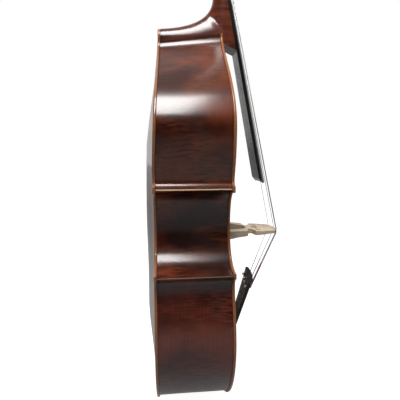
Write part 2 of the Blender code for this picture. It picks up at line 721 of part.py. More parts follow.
# ---- bridge, tailpiece and strings ---------------------------------------------------------
def build_bridge(mats):
    outline = plate_outline()

    def seat(x):
        spots = (BRIDGE_Z - BRIDGE_THICK_FOOT / 2, BRIDGE_Z, BRIDGE_Z + BRIDGE_THICK_FOOT / 2)
        return EDGE + max(faceted(outline, x, z, TOP_ARCH)[0] for z in spots) + 2 * GAP

    base = seat(BRIDGE_FOOT)
    outer = [(x, seat(x)) for x in (0.052, 0.061, 0.070, BRIDGE_FOOT)]
    outer += [(BRIDGE_FOOT, base + 0.012), (0.070, base + 0.022),
             (0.064, base + 0.045), (0.058, base + 0.062), (0.046, base + 0.067), (0.032, base + 0.069),
             (0.028, base + 0.076), (0.033, base + 0.085), (0.048, base + 0.087), (0.057, base + 0.096),
             (0.056, base + 0.112), (0.050, base + 0.138)]
    crown = [(x, BRIDGE_CROWN - fall) for x, fall in arc_points(0.047, BRIDGE_RADIUS, 10)][::-1]
    inner = [(0.044, seat(0.044)), (0.042, seat(0.044) + 0.012), (0.036, base + 0.038), (0.022, base + 0.060),
             (0.0, base + 0.068)]
    contour = inner[::-1] + outer + crown + [(-x, f) for x, f in outer[::-1]] + [(-x, f) for x,
                                                                                 f in inner[:-1]]
    low, high = [], []
    for x, f in contour:
        share = (f - base) / (BRIDGE_CROWN - base)
        thick = mix(BRIDGE_THICK_FOOT, BRIDGE_THICK_TOP, share)
        low.append(place(x, f, BRIDGE_Z - thick / 2))
        high.append(place(x, f, BRIDGE_Z + thick / 2))
    bridge = to_object("bridge", loft([low, high]), mats["bare_maple"])
    heart = [(0.0, 0.084), (0.009, 0.095), (0.0115, 0.104), (0.006, 0.110), (0.0, 0.105)]
    heart += [(-x, f) for x, f in heart[3:0:-1]]
    cut = prism([place(x, base + f, BRIDGE_Z) for x, f in heart], Vector((0, 0, -0.03)), Vector((0, 0, 0.03)))
    boolean(bridge, helper("cut_bridge_heart", cut))


def tail_axes():
    """The tailpiece's directions in body coordinates: along it, and out of its face."""
    along = Vector((0, -TAIL_SLOPE, -1)).normalized()
    return along, Vector((0, -along.z, along.y))


def tail_point(x, along, out):
    """A point on the tailpiece, measured along it from its top end and out from its crest."""
    down, face = tail_axes()
    p = TAIL_TOP + down * along + face * out
    return place(x, p.y, p.z)


def tail_slant(x):
    return TAIL_SLANT * (TAIL_HALF_TOP - x) / (2 * TAIL_HALF_TOP)


def build_tailpiece(mats):
    rings = []
    for share in (0.0, 0.12, 0.3, 0.55, 0.8, 1.0):
        half = mix(TAIL_HALF_TOP, TAIL_HALF_END, share ** 0.9)
        ring = []
        for x, fall in arc_points(half, TAIL_RADIUS, 8):
            along = TAIL_LENGTH * share + tail_slant(x) * (1 - share)
            ring.append(tail_point(x, along, -fall))
        deep = -sag(half, TAIL_RADIUS) - TAIL_SIDE
        for x in (half, -half):
            ring.append(tail_point(x, TAIL_LENGTH * share + tail_slant(x) * (1 - share), deep))
        rings.append(ring)
    tail = to_object("tailpiece", loft(rings), mats["ebony"])
    holes = bmesh.new()
    for x in STRING_SPREAD_TAIL.values():
        along = tail_slant(x) + TAIL_HOLE_BACK
        face = tail_point(x, along, 0.01) - tail_point(x, along, 0)
        turned(((-0.04, TAIL_HOLE), (0.02, TAIL_HOLE)), face.normalized(), tail_point(x, along, 0), 10, holes)
    down, face = tail_axes()
    for x in (-TAILGUT_X, TAILGUT_X):
        mouth = tail_point(x, TAIL_LENGTH, -TAIL_MIDDLE)
        turned(((-TAILGUT_DEEP - GAP, TAILGUT + GAP), (0.02, TAILGUT + GAP)), (0, -down.y, down.z),
               mouth, 10, holes)
    boolean(tail, helper("cut_string_holes", holes))

    saddle = [(0.0, EDGE + SADDLE_PROUD - 0.003), (0.003, EDGE + SADDLE_PROUD), (SADDLE_DEPTH,
                                                                                 EDGE + SADDLE_PROUD),
              (SADDLE_DEPTH, GAP), (0.0, GAP)]
    outline = [place(0, f, z) for z, f in saddle]
    to_object("saddle", prism(outline, Vector((-SADDLE_HALF, 0, 0)), Vector((SADDLE_HALF, 0, 0))),
              mats["ebony"])

    start = [tail_point(TAILGUT_X, TAIL_LENGTH + along, -TAIL_MIDDLE) for along in (-TAILGUT_DEEP, 0.004)]
    front = EDGE + SADDLE_PROUD + TAILGUT + 0.0006
    under = -TAILGUT - 0.0010
    half = start + [place(0.011, front + 0.001, 0.020), place(0.011, front, 0.006),
            place(0.011, front - 0.001, 0.001), place(0.0112, front - 0.0035, under - 0.001),
            place(0.0115, 0.006, under - 0.002), place(0.012, -0.03, under - 0.002)]
    ring = COLLAR_BOSS + TAILGUT + 0.0006
    level = ENDPIN_SHOWING + under - 0.002
    for turn in (-40, -10, 20, 50, 75):
        a = math.radians(turn)
        half.append(Vector((ring * math.cos(a), ring * math.sin(a), level)))
    path = half + [Vector((-p.x, p.y, p.z)) for p in half[::-1]]
    to_object("tailgut", tube(path, [TAILGUT] * len(path), 8), mats["gut"])


def string_path(name):
    """A string's centre line from the wrap on its roller to its ball, with a radius at each point."""
    r = STRING_RADII[name]
    x_nut, x_bridge, x_tail = STRING_SPREAD_NUT[name], STRING_SPREAD_BRIDGE[name], STRING_SPREAD_TAIL[name]
    axis = peg_axis(name)
    lift = ROLLER_RADIUS + r + GAP
    x_peg = x_nut * 0.8
    points = []
    for turn in (80, 60, 40, 20, 0, -20, -35):
        a = math.radians(turn)
        points.append(axis + Vector((x_peg, -lift * math.cos(a), lift * math.sin(a))))
    nut_f = BOARD_CREST_NUT + NUT_RISE - sag(x_nut, BOARD_RADIUS) + r + GAP
    points.append(place(x_nut, nut_f - 0.0015, NUT_Z + NUT_THICK + 0.001))
    points.append(place(x_nut, nut_f, NUT_Z + NUT_THICK - 0.004))
    points.append(place(x_nut, nut_f, NUT_Z))
    top_f = BRIDGE_CROWN - sag(x_bridge, BRIDGE_RADIUS) + r + GAP
    thick = BRIDGE_THICK_TOP / 2 + 0.001
    points.append(place(x_bridge, top_f, BRIDGE_Z + thick))
    points.append(place(x_bridge, top_f, BRIDGE_Z - thick))
    surface = r + GAP - sag(x_tail, TAIL_RADIUS)
    start = tail_slant(x_tail)
    points.append(tail_point(x_tail, start - 0.004, surface + 0.0012))
    points.append(tail_point(x_tail, start + 0.010, surface + 0.0004))
    hole = start + TAIL_HOLE_BACK
    points.append(tail_point(x_tail, hole - 0.003, surface + 0.0002))
    points.append(tail_point(x_tail, hole - 0.0006, surface - 0.0012))
    points.append(tail_point(x_tail, hole, surface - 0.004))
    widest = mix(TAIL_HALF_TOP, TAIL_HALF_END, (hole / TAIL_LENGTH) ** 0.9)
    under = -sag(widest, TAIL_RADIUS) - TAIL_SIDE - 0.0012
    points.append(tail_point(x_tail, hole, under))
    radii = [r] * len(points)
    for step, size in ((0.0002, 0.6), (0.0024, 1.0), (0.0050, 1.0), (0.0072, 0.6)):
        points.append(tail_point(x_tail, hole, under - step))
        radii.append(BALL_RADIUS * size)
    return points, radii


def build_strings(mats):
    for name in ("e", "a", "d", "g"):
        points, radii = string_path(name)
        to_object("string_" + name, tube(points, radii, 8), mats["steel"])


# ---- machine heads -------------------------------------------------------------------------
def build_tuner(name, mats):
    side = PEG_SIDES[name]
    axis = peg_axis(name)
    frame = bpy.data.objects.new("tuner_frame_" + name, None)
    bpy.context.scene.collection.objects.link(frame)
    frame.location = axis
    frame.rotation_euler = (-math.atan(PEGBOX_LEAN), 0, 0)
    cheek = PEGBOX_HALF + GAP
    gear_in = GEAR_X - GEAR_THICK / 2

    profile = ((-PEGBOX_HALF + 0.002, ROLLER_RADIUS), (cheek + PLATE_THICK + GAP, ROLLER_RADIUS),
               (cheek + PLATE_THICK + GAP + 0.0001, 0.009), (gear_in + 0.001, 0.009))
    peg = to_object("peg_" + name, turned(profile, (side, 0, 0), Vector(), 12), mats["brass"], frame)
    gear = turned(((gear_in, GEAR_RADIUS), (gear_in + GEAR_THICK, GEAR_RADIUS)), (side, 0, 0), Vector(), 24)
    boolean(peg, helper("join_gear_" + name, gear, frame), "UNION")
    nose = turned(((gear_in + 0.002, 0.0045), (gear_in + GEAR_THICK + 0.0015, 0.0045),
                   (gear_in + GEAR_THICK + 0.0025, 0.0035)), (side, 0, 0), Vector(), 12)
    boolean(peg, helper("join_nose_" + name, nose, frame), "UNION")

    worm_frame = bpy.data.objects.new("worm_frame_" + name, None)
    bpy.context.scene.collection.objects.link(worm_frame)
    worm_frame.parent = frame
    worm_frame.location = (side * GEAR_X, 0, WORM_DISTANCE)
    inner = LUG_Y - LUG_THICK / 2 - GAP * 2
    profile = ((-LUG_Y - LUG_THICK / 2 - 0.0015, WORM_SHAFT), (-inner, WORM_SHAFT),
               (-inner + 0.0001, WORM_RADIUS), (inner - 0.0001, WORM_RADIUS), (inner, WORM_SHAFT),
               (LUG_Y + LUG_THICK / 2 + GAP, WORM_SHAFT), (LUG_Y + LUG_THICK / 2 + GAP + 0.0001, 0.0036),
               (KEY_START, 0.0032))
    worm = to_object("worm_key_" + name, turned(profile, (0, 1, 0), Vector(), 12), mats["brass"], worm_frame)
    paddle = []
    for i in range(16):
        a = 2 * math.pi * i / 16
        round_x = math.copysign(abs(math.cos(a)) ** 0.6, math.cos(a))
        round_y = math.copysign(abs(math.sin(a)) ** 0.8, math.sin(a))
        paddle.append(Vector((KEY_HALF * round_x, KEY_START - 0.002 + KEY_LENGTH / 2 * (1 + round_y), 0)))
    wing = prism(paddle, Vector((0, 0, -0.0019)), Vector((0, 0, 0.0019)))
    boolean(worm, helper("join_paddle_" + name, wing, worm_frame), "UNION")

    low, high = cheek, cheek + PLATE_THICK
    bm = loft([[Vector((side * x, y, z)) for y, z in ((-0.016, -0.019), (0.016, -0.019), (0.018, 0.0),
                                                       (0.016, 0.027), (-0.016, 0.027), (-0.018, 0.0))]
               for x in (low, high)])
    plate = to_object("tuner_plate_" + name, bm, mats["brass"], frame)
    for i, y in enumerate((-LUG_Y, LUG_Y)):
        ends = sorted((side * (high - 0.001), side * (GEAR_X + 0.0052)))
        lug = box((ends[0], y - LUG_THICK / 2, WORM_DISTANCE - 0.0052),
                  (ends[1], y + LUG_THICK / 2, WORM_DISTANCE + 0.0055))
        boolean(plate, helper("join_lug_%s_%d" % (name, i), lug, frame), "UNION")
    bores = bmesh.new()
    turned(((0, ROLLER_RADIUS + GAP), (0.06, ROLLER_RADIUS + GAP)), (side, 0, 0), Vector(), 12, bores)
    turned(((-0.03, WORM_SHAFT + GAP), (0.03, WORM_SHAFT + GAP)), (0, 1, 0),
           Vector((side * GEAR_X, 0, WORM_DISTANCE)), 12, bores)
    boolean(plate, helper("cut_bores_" + name, bores, frame))


# ---- endpin --------------------------------------------------------------------------------
def build_endpin(mats):
    """The collar plugged into the end block, the sliding rod, its foot and the clamp screw."""
    base = Vector((0, 0, 0))
    seat = ENDPIN_SHOWING + OVERHANG - GAP
    flange = seat - COLLAR_FLANGE_THICK
    profile = ((COLLAR_BOTTOM, COLLAR_BOSS - 0.0015), (COLLAR_BOTTOM + 0.0015, COLLAR_BOSS),
               (flange - 0.0001, COLLAR_BOSS), (flange, COLLAR_FLANGE), (seat - 0.0001, COLLAR_FLANGE),
               (seat, COLLAR_SHANK), (COLLAR_TOP, COLLAR_SHANK))
    collar = to_object("endpin_collar", turned(profile, (0, 0, 1), base, 16), mats["ebony"])
    bores = turned(((0, ROD_RADIUS + GAP), (0.3, ROD_RADIUS + GAP)), (0, 0, 1), base, 16)
    boolean(collar, helper("cut_rod_bore", bores))
    screw_at = Vector((0, 0, SCREW_Z))
    bore = turned(((ROD_RADIUS - 0.001, SCREW_RADIUS + GAP), (0.05, SCREW_RADIUS + GAP)), (0, 1, 0),
                  screw_at, 12)
    boolean(collar, helper("cut_screw_bore", bore))

    rod = turned(((ROD_BOTTOM, ROD_RADIUS), (ROD_TOP - 0.001, ROD_RADIUS), (ROD_TOP, ROD_RADIUS - 0.001)),
                 (0, 0, 1), base, 16)
    to_object("endpin_rod", rod, mats["steel"])
    profile = ((0, TIP_RADIUS), (0.012, TIP_RADIUS - 0.001), (0.016, 0.0095), (TIP_HEIGHT, 0.0085))
    tip = to_object("endpin_tip", turned(profile, (0, 0, 1), base, 16), mats["rubber"])
    bore = turned(((ROD_BOTTOM - GAP, ROD_RADIUS + GAP), (0.05, ROD_RADIUS + GAP)), (0, 0, 1), base, 16)
    boolean(tip, helper("cut_tip_bore", bore))

    reach = COLLAR_BOSS + 0.003
    profile = ((ROD_RADIUS + GAP, SCREW_RADIUS), (reach, SCREW_RADIUS), (reach + 0.0001, 0.0045),
               (reach + 0.004, 0.0045))
    screw = to_object("endpin_screw", turned(profile, (0, 1, 0), Vector(), 12, None), mats["brass"])
    screw.location = screw_at
    wing = box((-SCREW_HEAD, reach + 0.003, -0.0015), (SCREW_HEAD, reach + 0.013, 0.0015))
    wing = helper("join_screw_wing", wing)
    wing.location = screw_at
    boolean(screw, wing, "UNION")


def main():
    clear_scene()
    mats = finishes()
    build_plates(mats)
    bore = build_ribs(mats)
    build_blocks(mats, bore)
    build_linings(mats)
    build_inside(mats)
    build_neck(mats)
    build_fingerboard(mats)
    build_bridge(mats)
    build_tailpiece(mats)
    build_strings(mats)
    for name in PEG_HEIGHTS:
        build_tuner(name, mats)
    build_endpin(mats)
    bpy.context.view_layer.update()


main()
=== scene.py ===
"""A double bass dressed around its frame: the carved box, neck and head, strings, fittings and endpin."""

import json
import logging
import math
from collections.abc import Callable, Sequence
from dataclasses import dataclass, field
from enum import Enum

import bmesh
import bpy
import numpy as np
from mathutils import Matrix, Vector


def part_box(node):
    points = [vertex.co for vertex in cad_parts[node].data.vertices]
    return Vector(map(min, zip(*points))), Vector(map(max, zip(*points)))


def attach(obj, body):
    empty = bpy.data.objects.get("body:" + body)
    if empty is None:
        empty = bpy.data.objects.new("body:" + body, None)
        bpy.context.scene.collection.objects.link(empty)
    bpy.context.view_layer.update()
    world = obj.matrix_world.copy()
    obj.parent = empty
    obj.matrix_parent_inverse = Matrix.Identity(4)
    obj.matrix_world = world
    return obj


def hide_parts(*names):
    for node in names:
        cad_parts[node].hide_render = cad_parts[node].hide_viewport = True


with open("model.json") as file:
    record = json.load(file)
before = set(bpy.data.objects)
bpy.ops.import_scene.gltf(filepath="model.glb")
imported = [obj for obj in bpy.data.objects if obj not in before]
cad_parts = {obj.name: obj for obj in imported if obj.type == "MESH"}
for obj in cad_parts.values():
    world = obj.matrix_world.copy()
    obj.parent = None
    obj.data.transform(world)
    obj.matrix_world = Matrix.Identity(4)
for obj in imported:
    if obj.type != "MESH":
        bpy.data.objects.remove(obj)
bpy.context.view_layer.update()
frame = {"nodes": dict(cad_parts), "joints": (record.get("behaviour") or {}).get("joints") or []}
log = logging.getLogger("double_bass")

RIB_LOW, RIB_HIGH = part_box("rib_lower_treble")
GAP = 0.0003
HALF_DEPTH = (RIB_HIGH.y - RIB_LOW.y) / 2 + GAP
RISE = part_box("top_plate")[0].z
STRING_NAMES = ("e", "a", "d", "g")
Color = tuple[float, float, float]


class Face(Enum):
    """Which of the two carved plates is meant."""

    TOP = "top_plate"
    BACK = "back_plate"


class Side(Enum):
    """The instrument's two sides, with the sign of x on each."""

    BASS = -1
    TREBLE = 1


def place(x: float, f: float, z: float) -> Vector:
    """Turns body coordinates (x, f forward of the ribs' front edge, z above the body's foot) into the frame's."""
    return Vector((x, -HALF_DEPTH - f, z + RISE))


def mix(a: float, b: float, t: float) -> float:
    """Blends two numbers."""
    return a + (b - a) * t


def clamp(t: float) -> float:
    """Holds a number between 0 and 1."""
    return min(max(t, 0.0), 1.0)


def sag(x: float, radius: float) -> float:
    """How far a round surface of this radius has fallen at x from its crest."""
    return radius - math.sqrt(radius * radius - x * x)


def bezier(a: Sequence[float], b: Sequence[float], c: Sequence[float], d: Sequence[float],
           count: int) -> list[tuple[Vector, Vector]]:
    """Walks a cubic curve.

    Args:
        a, b, c, d: its four control points.
        count: how many steps to take.

    Returns:
        Points with their unit tangents, both ends included.
    """
    a, b, c, d = (Vector(p) for p in (a, b, c, d))
    found = []
    for i in range(count + 1):
        t = i / count
        s = 1 - t
        point = a * s ** 3 + b * (3 * s * s * t) + c * (3 * s * t * t) + d * t ** 3
        slope = (b - a) * s * s + (c - b) * (2 * s * t) + (d - c) * t * t
        found.append((point, slope.normalized()))
    return found


# ---- node trees ----------------------------------------------------------------------------
class Tree:
    """A small builder for node trees."""

    def __init__(self, tree: bpy.types.NodeTree) -> None:
        """Keeps the tree that the nodes go into."""
        self.tree = tree

    def add(self, kind: str, inputs: dict | None = None, **settings: object) -> bpy.types.Node:
        """Adds a node.

        Args:
            kind: the node's type, without its ShaderNode prefix.
            inputs: values or sockets by input name or number.
            settings: the node's own properties.

        Returns:
            The new node.
        """
        node = self.tree.nodes.new("ShaderNode" + kind)
        for key, value in settings.items():
            setattr(node, key, value)
        for key, value in (inputs or {}).items():
            if isinstance(value, bpy.types.NodeSocket):
                self.tree.links.new(value, node.inputs[key])
            else:
                node.inputs[key].default_value = value
        return node

    def math(self, operation: str, a: object, b: object = 0.0) -> bpy.types.NodeSocket:
        """Adds a Math node and returns its value."""
        return self.add("Math", {0: a, 1: b}, operation=operation).outputs[0]

    def blend(self, factor: object, a: object, b: object, mode: str = "MIX") -> bpy.types.NodeSocket:
        """Adds a colour Mix node and returns its result."""
        node = self.add("Mix", None, data_type="RGBA", blend_type=mode)
        for key, value in ((0, factor), (6, a), (7, b)):
            if isinstance(value, bpy.types.NodeSocket):
                self.tree.links.new(value, node.inputs[key])
            elif key == 0:
                node.inputs[key].default_value = value
            else:
                node.inputs[key].default_value = (*value, 1.0)
        return node.outputs[2]

    def ramp(self, value: bpy.types.NodeSocket, low: float, high: float) -> bpy.types.NodeSocket:
        """Spreads the stretch from low to high over 0 to 1."""
        return self.add("MapRange", {0: value, 1: low, 2: high}, interpolation_type="SMOOTHSTEP").outputs[0]


def new_group(name: str, inputs: dict[str, str], outputs: dict[str, str]) -> tuple[Tree, dict, dict]:
    """Starts a node group.

    Args:
        name: the group's name.
        inputs: socket types by name.
        outputs: the same for what it puts out.

    Returns:
        Its tree, the sockets that come in, and the sockets that go out.
    """
    group = bpy.data.node_groups.new(name, "ShaderNodeTree")
    for label, kind in inputs.items():
        group.interface.new_socket(label, in_out="INPUT", socket_type="NodeSocket" + kind)
    for label, kind in outputs.items():
        group.interface.new_socket(label, in_out="OUTPUT", socket_type="NodeSocket" + kind)
    entry = group.nodes.new("NodeGroupInput")
    leave = group.nodes.new("NodeGroupOutput")
    return Tree(group), dict(entry.outputs.items()), dict(leave.inputs.items())


def figure_group() -> bpy.types.NodeTree:
    """Flamed maple: stripes across the grain, cloudy patches and fine pores.

    Returns:
        The group. Its vector runs along the grain in x and across it in y, in metres.
    """
    t, entry, leave = new_group("maple_figure", {"Vector": "Vector", "Stripes": "Float", "Seed": "Float"},
                                {"Flame": "Float", "Patch": "Float", "Pores": "Float"})
    shift = t.add("CombineXYZ", {"X": entry["Seed"], "Y": entry["Seed"]}).outputs[0]
    where = t.add("VectorMath", {0: entry["Vector"], 1: shift}, operation="ADD").outputs[0]
    warp = t.add("TexNoise", {"Vector": where, "Scale": 9.0, "Detail": 3.0})
    bent = t.add("VectorMath", {0: warp.outputs["Color"], 1: (0.018, 0.0, 0.0)}, operation="MULTIPLY").outputs[0]
    bent = t.add("VectorMath", {0: where, 1: bent}, operation="ADD").outputs[0]
    wide = t.add("Mapping", {"Vector": bent, "Scale": (1.0, 0.16, 0.16)}).outputs[0]
    scale = t.math("MULTIPLY", entry["Stripes"], 1.0)
    stripes = t.add("TexNoise", {"Vector": wide, "Scale": scale, "Detail": 2.5, "Roughness": 0.6})
    strong = t.add("TexNoise", {"Vector": where, "Scale": 5.0, "Detail": 1.0})
    flame = t.ramp(stripes.outputs[0], 0.38, 0.66)
    share = t.ramp(strong.outputs[0], 0.30, 0.62)
    t.tree.links.new(t.math("MULTIPLY", flame, share), leave["Flame"])
    broad = t.add("Mapping", {"Vector": where, "Scale": (1.0, 0.55, 1.0)}).outputs[0]
    patch = t.add("TexNoise", {"Vector": broad, "Scale": 7.5, "Detail": 3.0, "Roughness": 0.55})
    t.tree.links.new(t.ramp(patch.outputs[0], 0.36, 0.64), leave["Patch"])
    long = t.add("Mapping", {"Vector": where, "Scale": (14.0, 420.0, 420.0)}).outputs[0]
    pores = t.add("TexNoise", {"Vector": long, "Scale": 1.0, "Detail": 2.0})
    t.tree.links.new(t.ramp(pores.outputs[0], 0.40, 0.70), leave["Pores"])
    return t.tree


def rings_group() -> bpy.types.NodeTree:
    """Straight year rings of quarter-sawn wood: thin dark lines along the grain.

    Returns:
        The group. Its vector runs along the grain in x and across it in y, in metres.
    """
    t, entry, leave = new_group("year_rings", {"Vector": "Vector", "Rings": "Float"}, {"Line": "Float"})
    wander = t.add("Mapping", {"Vector": entry["Vector"], "Scale": (2.2, 14.0, 1.0)}).outputs[0]
    drift = t.add("TexNoise", {"Vector": wander, "Scale": 1.0, "Detail": 2.0}).outputs[0]
    parts = t.add("SeparateXYZ", {0: entry["Vector"]})
    across = t.math("ADD", parts.outputs[1], t.math("MULTIPLY", drift, 0.016))
    phase = t.math("FRACT", t.math("MULTIPLY", across, entry["Rings"]))
    t.tree.links.new(t.ramp(phase, 0.45, 1.0), leave["Line"])
    return t.tree


def wear_group() -> bpy.types.NodeTree:
    """Polish and handling: faint smudges in the gloss.

    Returns:
        The group, with a mask of smudges and a height for a slightly uneven film.
    """
    t, entry, leave = new_group("handling", {"Vector": "Vector", "Scale": "Float"},
                                {"Smudge": "Float", "Height": "Float"})
    smudge = t.add("TexNoise", {"Vector": entry["Vector"], "Scale": entry["Scale"], "Detail": 4.0})
    t.tree.links.new(t.ramp(smudge.outputs[0], 0.45, 0.75), leave["Smudge"])
    film = t.add("TexNoise", {"Vector": entry["Vector"], "Scale": 26.0, "Detail": 1.0})
    t.tree.links.new(film.outputs[0], leave["Height"])
    return t.tree


class Grain(Enum):
    """Where a wood's grain runs on a piece."""

    PATH = "along the piece's own attribute"
    UP = "up the instrument"
    ACROSS = "across the instrument"


class Paint:
    """A material being made, with its Principled shader and shared groups at hand."""

    groups: dict[str, bpy.types.NodeTree] = {}

    def __init__(self, name: str, roughness: float, metallic: float = 0.0, coat: float = 0.0,
                 coat_roughness: float = 0.1) -> None:
        """Makes the material and sets the shader's plain values."""
        self.material = bpy.data.materials.new(name)
        self.material.use_nodes = True
        self.t = Tree(self.material.node_tree)
        self.shader = self.material.node_tree.nodes["Principled BSDF"]
        values = {"Roughness": roughness, "Metallic": metallic, "Coat Weight": coat, "Coat Roughness": coat_roughness}
        for key, value in values.items():
            self.shader.inputs[key].default_value = value

    def group(self, make: Callable[[], bpy.types.NodeTree], inputs: dict) -> bpy.types.Node:
        """Adds a shared group, making it the first time it is asked for."""
        if make.__name__ not in Paint.groups:
            Paint.groups[make.__name__] = make()
        node = self.t.tree.nodes.new("ShaderNodeGroup")
        node.node_tree = Paint.groups[make.__name__]
        for key, value in inputs.items():
            if isinstance(value, bpy.types.NodeSocket):
                self.t.tree.links.new(value, node.inputs[key])
            else:
                node.inputs[key].default_value = value
        return node

    def where(self, grain: Grain) -> bpy.types.NodeSocket:
        """A vector whose x runs along the grain and y across it, in metres."""
        parts = self.t.add("SeparateXYZ", {0: self.t.add("TexCoord").outputs["Object"]}).outputs
        if grain is Grain.PATH:
            along = self.t.add("Attribute", attribute_name="along").outputs["Fac"]
            return self.t.add("CombineXYZ", {0: along, 1: parts[1], 2: 0.0}).outputs[0]
        if grain is Grain.UP:
            return self.t.add("CombineXYZ", {0: parts[2], 1: parts[0], 2: parts[1]}).outputs[0]
        return self.t.add("CombineXYZ", {0: parts[0], 1: parts[1], 2: parts[2]}).outputs[0]

    def wire(self, socket: bpy.types.NodeSocket, name: str) -> None:
        """Feeds one of the shader's inputs."""
        self.t.tree.links.new(socket, self.shader.inputs[name])

    def bump(self, height: bpy.types.NodeSocket, distance: float, strength: float = 1.0) -> None:
        """Feeds the shader's normal from a height."""
        node = self.t.add("Bump", {"Height": height, "Strength": strength, "Distance": distance})
        self.wire(node.outputs[0], "Normal")


@dataclass(frozen=True)
class VarnishedMaple:
    """Red-brown spirit varnish over flamed maple."""

    name: str
    grain: Grain
    dark: Color
    warm: Color
    stripes: float
    seed: float
    edge_line: bool = False

    def make(self) -> bpy.types.Material:
        """Builds the material.

        Returns:
            The finished material.
        """
        p = Paint(self.name, roughness=0.5, coat=0.75, coat_roughness=0.21)
        p.shader.inputs["Specular IOR Level"].default_value = 0.04
        t = p.t
        where = p.where(self.grain)
        figure = p.group(figure_group, {"Vector": where, "Stripes": self.stripes, "Seed": self.seed}).outputs
        body = t.blend(figure["Patch"], self.dark, self.warm)
        deep = tuple(0.28 * c for c in self.dark)
        body = t.blend(t.math("MULTIPLY", figure["Flame"], 0.78), body, deep)
        glow = tuple(min(1.0, 1.55 * c) for c in self.warm)
        lit = t.math("MULTIPLY", t.math("SUBTRACT", 1.0, figure["Flame"]), figure["Patch"])
        body = t.blend(t.math("MULTIPLY", lit, 0.50), body, glow)
        body = t.blend(t.math("MULTIPLY", figure["Pores"], 0.30), body, deep)
        handling = p.group(wear_group, {"Vector": where, "Scale": 11.0}).outputs
        body = t.blend(t.math("MULTIPLY", handling["Smudge"], 0.04), body, (0.30, 0.20, 0.17))
        if self.edge_line:
            body = rim_and_inlay(p, body)
        p.wire(body, "Base Color")
        p.wire(t.math("ADD", 0.44, t.math("MULTIPLY", handling["Smudge"], 0.12)), "Roughness")
        height = t.math("ADD", t.math("MULTIPLY", figure["Flame"], 0.25), handling["Height"])
        p.bump(height, 0.0011)
        return p.material


def rim_and_inlay(p: Paint, body: bpy.types.NodeSocket) -> bpy.types.NodeSocket:
    """Rubs the varnish back on a plate's rim and lays the purfling's dark, pale and dark strips.

    Args:
        p: the material being made; its piece carries the distance to the rim as an attribute.
        body: the colour so far.

    Returns:
        The colour with the rim and the purfling.
    """
    t = p.t
    edge = t.add("Attribute", attribute_name="edge").outputs["Fac"]
    worn = t.math("SUBTRACT", 1.0, t.ramp(edge, 0.0004, 0.0036))
    body = t.blend(t.math("MULTIPLY", worn, 0.80), body, (0.30, 0.115, 0.045))
    for low, high, color in ((0.0062, 0.0074, (0.01, 0.006, 0.004)), (0.0074, 0.0088, (0.32, 0.17, 0.07)),
                             (0.0088, 0.0100, (0.01, 0.006, 0.004))):
        inside = t.math("MULTIPLY", t.math("GREATER_THAN", edge, low), t.math("LESS_THAN", edge, high))
        body = t.blend(inside, body, color)
    return body


@dataclass(frozen=True)
class VarnishedSpruce:
    """The same varnish over the straight year rings of spruce."""

    name: str = "varnished_spruce"

    def make(self) -> bpy.types.Material:
        """Builds the material.

        Returns:
            The finished material.
        """
        p = Paint(self.name, roughness=0.5, coat=0.6, coat_roughness=0.22)
        p.shader.inputs["Specular IOR Level"].default_value = 0.04
        t = p.t
        where = p.where(Grain.UP)
        line = p.group(rings_group, {"Vector": where, "Rings": 420.0}).outputs["Line"]
        figure = p.group(figure_group, {"Vector": where, "Stripes": 14.0, "Seed": 3.0}).outputs
        body = t.blend(figure["Patch"], (0.150, 0.030, 0.008), (0.270, 0.070, 0.014))
        body = t.blend(t.math("MULTIPLY", line, 0.65), body, (0.045, 0.012, 0.006))
        body = rim_and_inlay(p, body)
        p.wire(body, "Base Color")
        handling = p.group(wear_group, {"Vector": where, "Scale": 9.0}).outputs
        p.wire(t.math("ADD", 0.34, t.math("MULTIPLY", handling["Smudge"], 0.18)), "Roughness")
        p.bump(t.math("ADD", t.math("MULTIPLY", line, 0.3), handling["Height"]), 0.0008)
        return p.material


@dataclass(frozen=True)
class BareWood:
    """Unvarnished wood, planed or cut."""

    name: str
    pale: Color
    line: Color
    rings: float
    grain: Grain
    flecks: float = 0.25

    def make(self) -> bpy.types.Material:
        """Builds the material.

        Returns:
            The finished material.
        """
        p = Paint(self.name, roughness=0.55)
        t = p.t
        where = p.where(self.grain)
        line = p.group(rings_group, {"Vector": where, "Rings": self.rings}).outputs["Line"]
        figure = p.group(figure_group, {"Vector": where, "Stripes": 160.0, "Seed": 1.5}).outputs
        body = t.blend(t.math("MULTIPLY", line, 0.5), self.pale, self.line)
        body = t.blend(t.math("MULTIPLY", figure["Flame"], self.flecks), body, self.line)
        body = t.blend(t.math("MULTIPLY", figure["Patch"], 0.22), body, tuple(1.15 * c for c in self.pale))
        p.wire(body, "Base Color")
        p.wire(t.math("ADD", 0.48, t.math("MULTIPLY", figure["Pores"], 0.2)), "Roughness")
        p.bump(t.math("ADD", figure["Pores"], line), 0.0002)
        return p.material


@dataclass(frozen=True)
class Ebony:
    """Black ebony, scraped smooth and oiled."""

    name: str = "ebony"

    def make(self) -> bpy.types.Material:
        """Builds the material.

        Returns:
            The finished material.
        """
        p = Paint(self.name, roughness=0.30)
        p.shader.inputs["Specular IOR Level"].default_value = 0.16
        t = p.t
        where = p.where(Grain.UP)
        figure = p.group(figure_group, {"Vector": where, "Stripes": 20.0, "Seed": 6.0}).outputs
        body = t.blend(figure["Patch"], (0.006, 0.0055, 0.006), (0.016, 0.012, 0.010))
        body = t.blend(t.math("MULTIPLY", figure["Pores"], 0.5), body, (0.028, 0.022, 0.019))
        p.wire(body, "Base Color")
        handling = p.group(wear_group, {"Vector": where, "Scale": 30.0}).outputs
        p.wire(t.math("ADD", 0.16, t.math("MULTIPLY", handling["Smudge"], 0.10)), "Roughness")
        p.bump(figure["Pores"], 0.00015)
        return p.material


